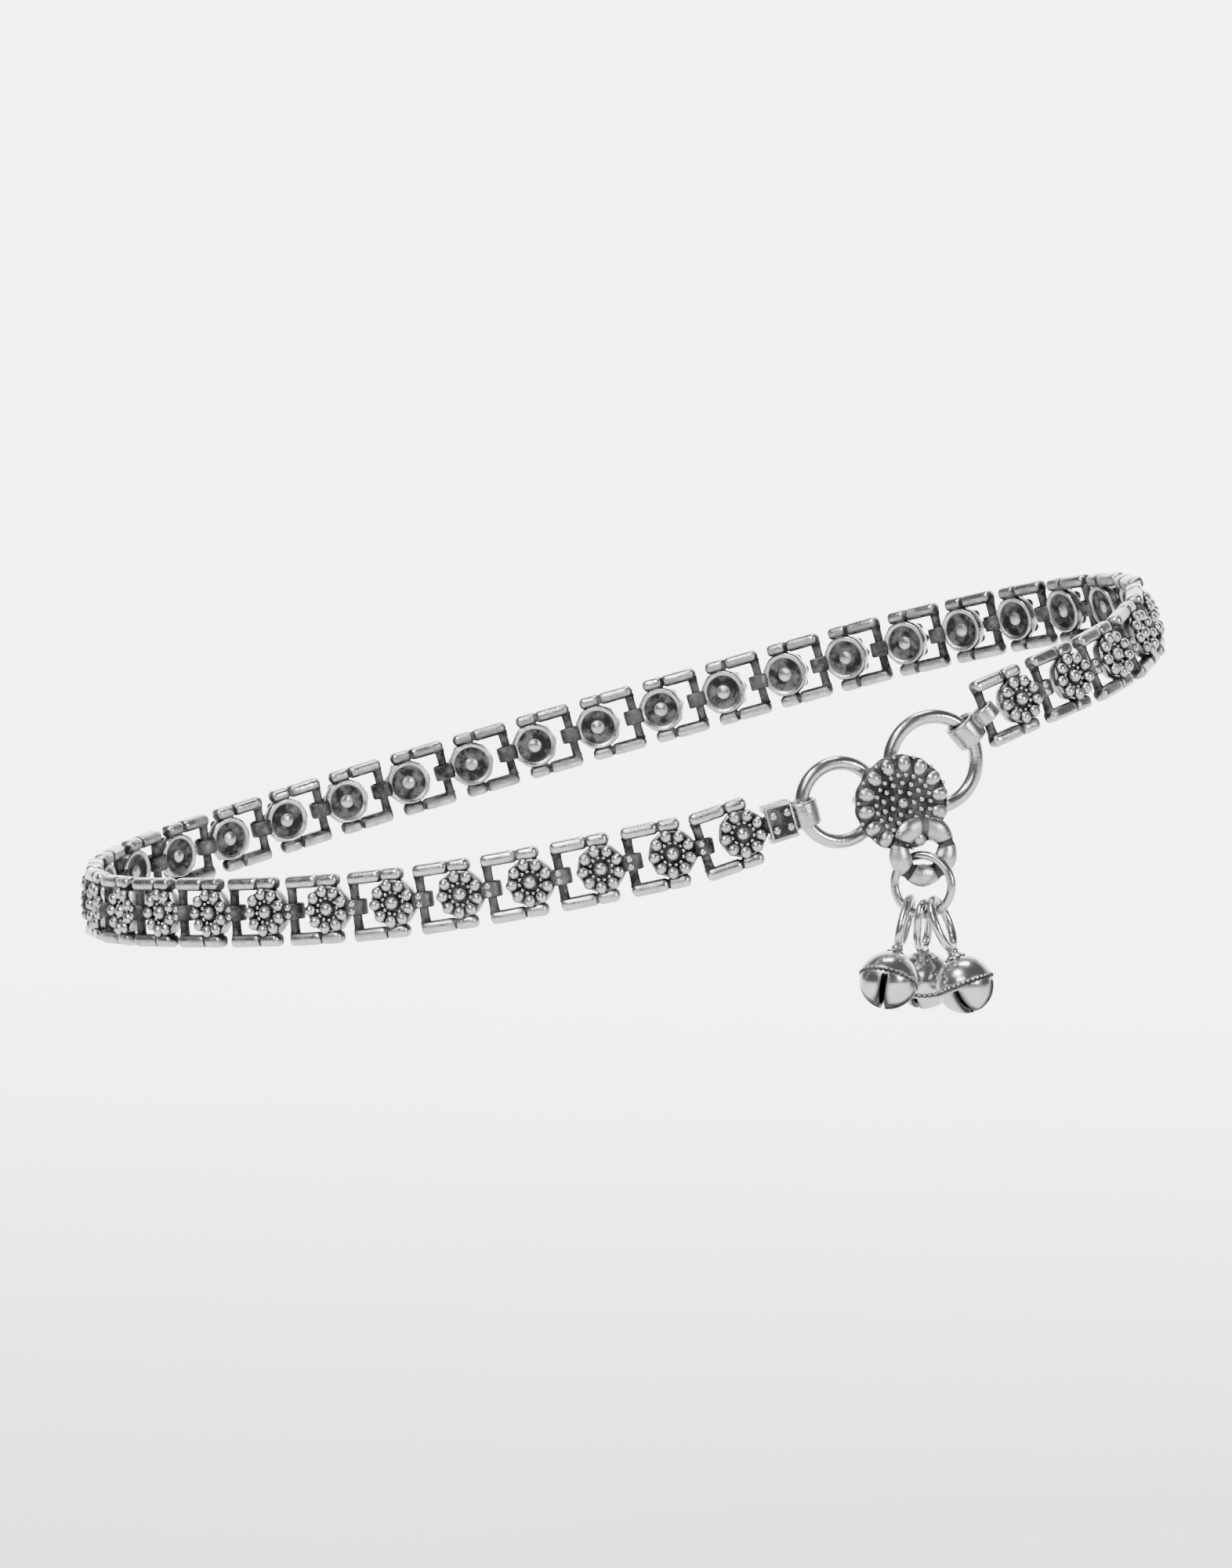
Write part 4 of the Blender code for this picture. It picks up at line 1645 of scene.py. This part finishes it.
@dataclass
class HangingCluster:
    """The drop link through the eye and the three bells on it.

    Attributes:
        layout: The clasp that it hangs on.
        at: The clasp's frame.
        level: The level direction along the band at the clasp.
        shop: The finishes and trees.
        wire: Radius of the link's wire.
        half_width: Half of the link's width, to the middle of the wire.
        half_height: Half of its height.
        yaw: How far it is turned from the band, in degrees.
        spread: Angle on the link from its lowest point to each side bell, in degrees.
        aims: Name, side of the link and direction of each bell: along the band, up and outward.
    """

    layout: ClaspLayout
    at: Matrix
    level: Vector
    shop: Workshop
    wire: float = 0.43
    half_width: float = 2.85
    half_height: float = 2.75
    yaw: float = 42.0
    spread: float = 31.0
    aims: tuple[tuple[str, float, tuple[float, float, float]], ...] = (
        ("bell_left", -1.0, (-2.8, -6.4, 2.5)),
        ("bell_right", 1.0, (2.0, -6.4, 1.7)),
        ("bell_back", 0.0, (1.2, -6.4, -3.0)),
    )

    def build(self) -> list[bpy.types.Object]:
        """Make and dress the link and its bells.

        Returns:
            The drop link and the three bells.
        """
        lay = self.layout
        top = lay.eye_centre[1] - lay.eye_hole + PLAY.gap + self.wire
        hang = self.at @ flat((lay.eye_centre[0], top), lay.eye_level)
        out = Vector((self.level.y, -self.level.x, 0.0))
        yaw = math.radians(self.yaw)
        wide = self.level * math.cos(yaw) + out * math.sin(yaw)
        base = to_frame(hang - Vector((0, 0, self.half_height)), wide, (0, 0, 1))
        path = oval(self.half_width, self.half_height, steps=96)
        shape = sweep(path, round_section(self.wire), even(0.25), sides=18)
        link = Shape().join(shape, base).to_object("drop_link")
        made = [dress(link, self.shop.wire, Body.DROP, Slot.WIRE, ["drop_link"])]
        for name, side, aim in self.aims:
            turn = math.radians(-90.0 + side * self.spread)
            pivot = base @ Vector((self.half_width * math.cos(turn), 0, self.half_height * math.sin(turn)))
            ahead = Vector((-self.half_width * math.sin(turn), 0, self.half_height * math.cos(turn)))
            tangent = (base.to_3x3() @ ahead).normalized()
            down = (self.level * aim[0] + Vector((0, 0, aim[1])) + out * aim[2]).normalized()
            bell = Bell(self.shop).build(name, pivot, down, tangent, self.wire)
            made.append(dress(bell, self.shop.bell, Body.DROP, Slot.BELLS, [name]))
        return made


@dataclass
class Bell:
    """A hollow round bell: crossed slits, beaded seam and shank loop.

    Attributes:
        shop: The finishes and trees.
        radius: Radius of the ball.
        wall: Thickness of its wall.
        slit: Width of the long slit.
        cross_slit: Width of the slit across it.
        wire: Radius of the loop's wire in the solid.
        loop_width: Half of the loop's width, to the middle of the wire.
        loop_height: Half of its height.
        loop_thick: How much thicker the wire is here than in the solid.
        neck: Height of the neck between loop and ball.
    """

    shop: Workshop
    radius: float = 2.72
    wall: float = 0.4
    slit: float = 0.55
    cross_slit: float = 0.4
    wire: float = 0.35
    loop_width: float = 1.5
    loop_height: float = 2.4
    loop_thick: float = 1.2
    neck: float = 0.5

    def build(
        self, name: str, pivot: Vector, down: Vector, tangent: Vector, link_wire: float
    ) -> bpy.types.Object:
        """Make the bell.

        Args:
            name: The bell's name.
            pivot: Where its loop crosses the link's wire.
            down: The direction that it hangs in.
            tangent: The direction of the link's wire there.
            link_wire: The radius of the link's wire.

        Returns:
            The bell as one plain mesh.
        """
        hang = link_wire + PLAY.gap + self.wire
        centre = pivot + down * (self.loop_height - hang)
        base = to_frame(centre, down.cross(tangent), -down)
        drop = self.loop_height + self.wire + self.neck + self.radius
        ball = centre + down * drop
        at = to_frame(ball, down.cross(tangent), -down)
        path = oval(self.loop_width, self.loop_height, steps=64)
        loop = sweep(path, round_section(self.wire * self.loop_thick), even(0.3), sides=14)
        made = Shape().join(loop, base).join(self._neck(drop), at).join(self._shell(name), at)
        seam = GrainRing(34, self.radius - 0.1, 0.22, lift=1.2, level=0.0)
        collar = GrainRing(8, 0.86, 0.22, level=self.radius - 0.13)
        return self.shop.solder(made, seam, collar, at=at).to_object(name)

    def _neck(self, drop: float) -> Shape:
        """The turned neck between the loop and the ball.

        Args:
            drop: Distance from the loop's middle to the ball's.

        Returns:
            The closed shell in the ball's frame.
        """
        low = self.radius - 0.15
        high = drop - self.loop_height
        middle = (low + high) / 2
        profile = [(0, high), (0.42, high), (0.58, middle + 0.15), (0.5, middle)]
        profile += [(0.62, middle - 0.12), (0.9, low + 0.1), (1.0, low - 0.12), (0, low - 0.16)]
        return lathe(profile, even(0.5), sides=24)

    def _shell(self, name: str) -> Shape:
        """The hollow ball with its crossed slits.

        Args:
            name: The bell's name.

        Returns:
            The ball in its own frame, with its painted shade.
        """
        outer = self._ball(self.radius, rows=24, sides=48).to_object(name + "_ball")
        inner = self._ball(self.radius - self.wall, rows=18, sides=36).to_object(name + "_hollow")
        past = 2 * self.radius
        half, other = self.slit / 2, self.cross_slit / 2
        slit = soft_box((-past, -half, -past), (past, half, -self.wall), edge=0.04, patina=1.0)
        slit = slit.to_object(name + "_slit")
        cross = soft_box((-other, -past, -past), (other, past, -1.5 * self.wall), edge=0.04, patina=1.0)
        cross = cross.to_object(name + "_cross")
        for cutter in (inner, slit, cross):
            step = outer.modifiers.new("cut", "BOOLEAN")
            step.operation = "DIFFERENCE"
            step.solver = "EXACT"
            step.object = cutter
        made = read_shape(plain_mesh(outer))
        for obj in (outer, inner, slit, cross):
            bpy.data.objects.remove(obj)
        # Painted shade on the ball: black inside, dark in the creases and at the foot.
        made.patina = [self._painted_shade(p) for p in made.points]
        return made

    def _painted_shade(self, point: Vector) -> float:
        """Painted shade of the ball: black inside, dark along the slits, the bead seam and the neck, and
        dark at the foot in place of a dark reflection from beneath.

        Args:
            point: A point of the ball.

        Returns:
            The painted shade there.
        """
        if point.length < 0.97 * self.radius:
            return 1.0
        near = min(abs(point.y), abs(point.x))
        out = point.xy.length
        seam = bell_curve(point.z, 0.36, 4)
        neck = bell_curve(out, 1.2) if point.z > 0 else 0.0
        slit = bell_curve(near, 0.75) if point.z < -self.wall else 0.0
        foot = bell_curve(out, 1.3) if point.z < 0 else 0.0
        return min(1.0, 0.85 * seam + 0.8 * slit + 0.7 * neck + 0.5 * foot)

    @staticmethod
    def _ball(radius: float, rows: int, sides: int) -> Shape:
        """A round ball.

        Args:
            radius: Its radius.
            rows: Steps from pole to pole.
            sides: Steps round it.

        Returns:
            The closed shell.
        """
        turns = [math.pi * i / rows for i in range(1, rows)]
        rim = [(radius * math.sin(t), radius * math.cos(t)) for t in turns]
        return lathe([(0, radius), *rim, (0, -radius)], even(0.0), sides)


@dataclass(frozen=True)
class Studio:
    """Floor, light and camera.

    Attributes:
        distance: How far the camera stands from what it looks at.
        azimuth: Its angle round from the front, in degrees.
        elevation: Its angle above the horizon, in degrees.
        frame_height: Height of the picture at that distance.
        sensor: Width of the sensor, in millimetres.
        aim: What it looks at.
        floor: Level of the floor.
        half_floor: Half of its width.
        floor_front: Where it starts, in front.
        floor_bend: Where it starts to bend up, behind.
        bend: Radius of the bend.
        wall_top: Height of the wall that it ends in.
    """

    distance: float = 700.0
    azimuth: float = 8.0
    elevation: float = 5.0
    frame_height: float = 152.0
    sensor: float = 36.0
    aim: tuple[float, float, float] = (0.0, 0.0, -2.5)
    floor: float = -94.0
    half_floor: float = 2600.0
    floor_front: float = -1500.0
    floor_bend: float = 700.0
    bend: float = 500.0
    wall_top: float = 2400.0

    def build(self) -> None:
        """Set the whole studio."""
        self._floor()
        self._lights()
        self._camera()

    @property
    def back(self) -> Vector:
        """The direction from the anklet to the camera."""
        a, e = math.radians(self.azimuth), math.radians(self.elevation)
        return Vector((math.sin(a) * math.cos(e), -math.cos(a) * math.cos(e), math.sin(e)))

    def _camera(self) -> None:
        """The camera at the photograph's angle."""
        data = bpy.data.cameras.new("camera")
        data.sensor_width = self.sensor
        data.lens = self.sensor / 2 / (self.frame_height / 2 / self.distance)
        data.clip_start = 0.01
        data.clip_end = 20.0
        camera = scene_object("camera", data)
        point_at(camera, Vector(self.aim) + self.back * self.distance, -self.back)
        bpy.context.scene.camera = camera

    def _floor(self) -> None:
        """A pale floor that sweeps up behind."""
        turns = [math.pi / 2 * i / 24 for i in range(25)]
        steps = [(self.floor_front, 0.0)]
        steps += [(self.floor_bend + self.bend * math.sin(t), self.bend * (1 - math.cos(t))) for t in turns]
        steps.append((self.floor_bend + self.bend, self.wall_top))
        points = [Vector((side * self.half_floor, y, self.floor + z)) for y, z in steps for side in (-1, 1)]
        faces = [(2 * i, 2 * i + 1, 2 * i + 3, 2 * i + 2) for i in range(len(steps) - 1)]
        obj = Shape().add(points, faces, [0.0] * len(points)).to_object("studio_floor")
        build = MaterialTree("studio_paper")
        grain = build.noise(build.place, Scale=40.0)
        tone = build.mix(grain, (0.9, 0.9, 0.9, 1.0), (0.93, 0.93, 0.925, 1.0))
        obj.data.materials.append(build.finish({"Base Color": tone, "Roughness": 0.85}))

    def _lights(self) -> None:
        """Soft boxes on a pale studio."""
        world = bpy.data.worlds.new("studio_air")
        world.use_nodes = True
        air = world.node_tree.nodes["Background"]
        air.inputs["Color"].default_value = (0.80, 0.81, 0.83, 1.0)
        air.inputs["Strength"].default_value = 0.22
        bpy.context.scene.world = world
        for name, place, aim, size, power in (
            ("key", (-260.0, -420.0, 520.0), (0.0, 0.0, 0.0), (150.0, 100.0), 8.0),
            ("front", (-120.0, -640.0, 300.0), (0.0, 0.0, 0.0), (280.0, 160.0), 2.0),
            ("fill", (520.0, -380.0, 160.0), (0.0, 0.0, 0.0), (100.0, 140.0), 3.0),
            ("top", (0.0, 60.0, 620.0), (0.0, 0.0, 0.0), (260.0, 160.0), 3.5),
            ("wash", (0.0, 450.0, 650.0), (0.0, 1200.0, 250.0), (1600.0, 500.0), 60.0),
        ):
            data = bpy.data.lights.new(name, "AREA")
            data.shape = "RECTANGLE"
            data.size, data.size_y = size[0] * MM, size[1] * MM
            data.energy = power
            point_at(scene_object(name, data), Vector(place), Vector(aim) - Vector(place))


def point_at(obj: bpy.types.Object, place: Vector, direction: Vector) -> None:
    """Set a camera or a lamp at a place in millimetres, looking in a direction."""
    obj.location = place * MM
    obj.rotation_mode = "QUATERNION"
    obj.rotation_quaternion = direction.to_track_quat("-Z", "Y")


def main() -> None:
    """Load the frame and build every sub-assembly in order."""
    logging.basicConfig(level=logging.INFO, format="%(name)s: %(message)s")
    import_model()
    shop = Workshop()
    layout = ClaspLayout()
    route = Route()
    pitch = route.solve_pitch(layout.chord)
    frames = route.frames(pitch)
    start = frames[-1] @ Vector((pitch, 0, 0))
    end = frames[0].translation
    at = layout.frame(start, end)
    level = Vector((end.x - start.x, end.y - start.y, 0.0)).normalized()
    made = Band(route, shop, pitch).build()
    made += Clasp(layout, at, frames, shop).build()
    made += HangingCluster(layout, at, level, shop).build()
    Studio().build()
    LOG.info("%d pieces, pitch %.3f mm", len(made), pitch)


if __name__ == "__main__":
    main()
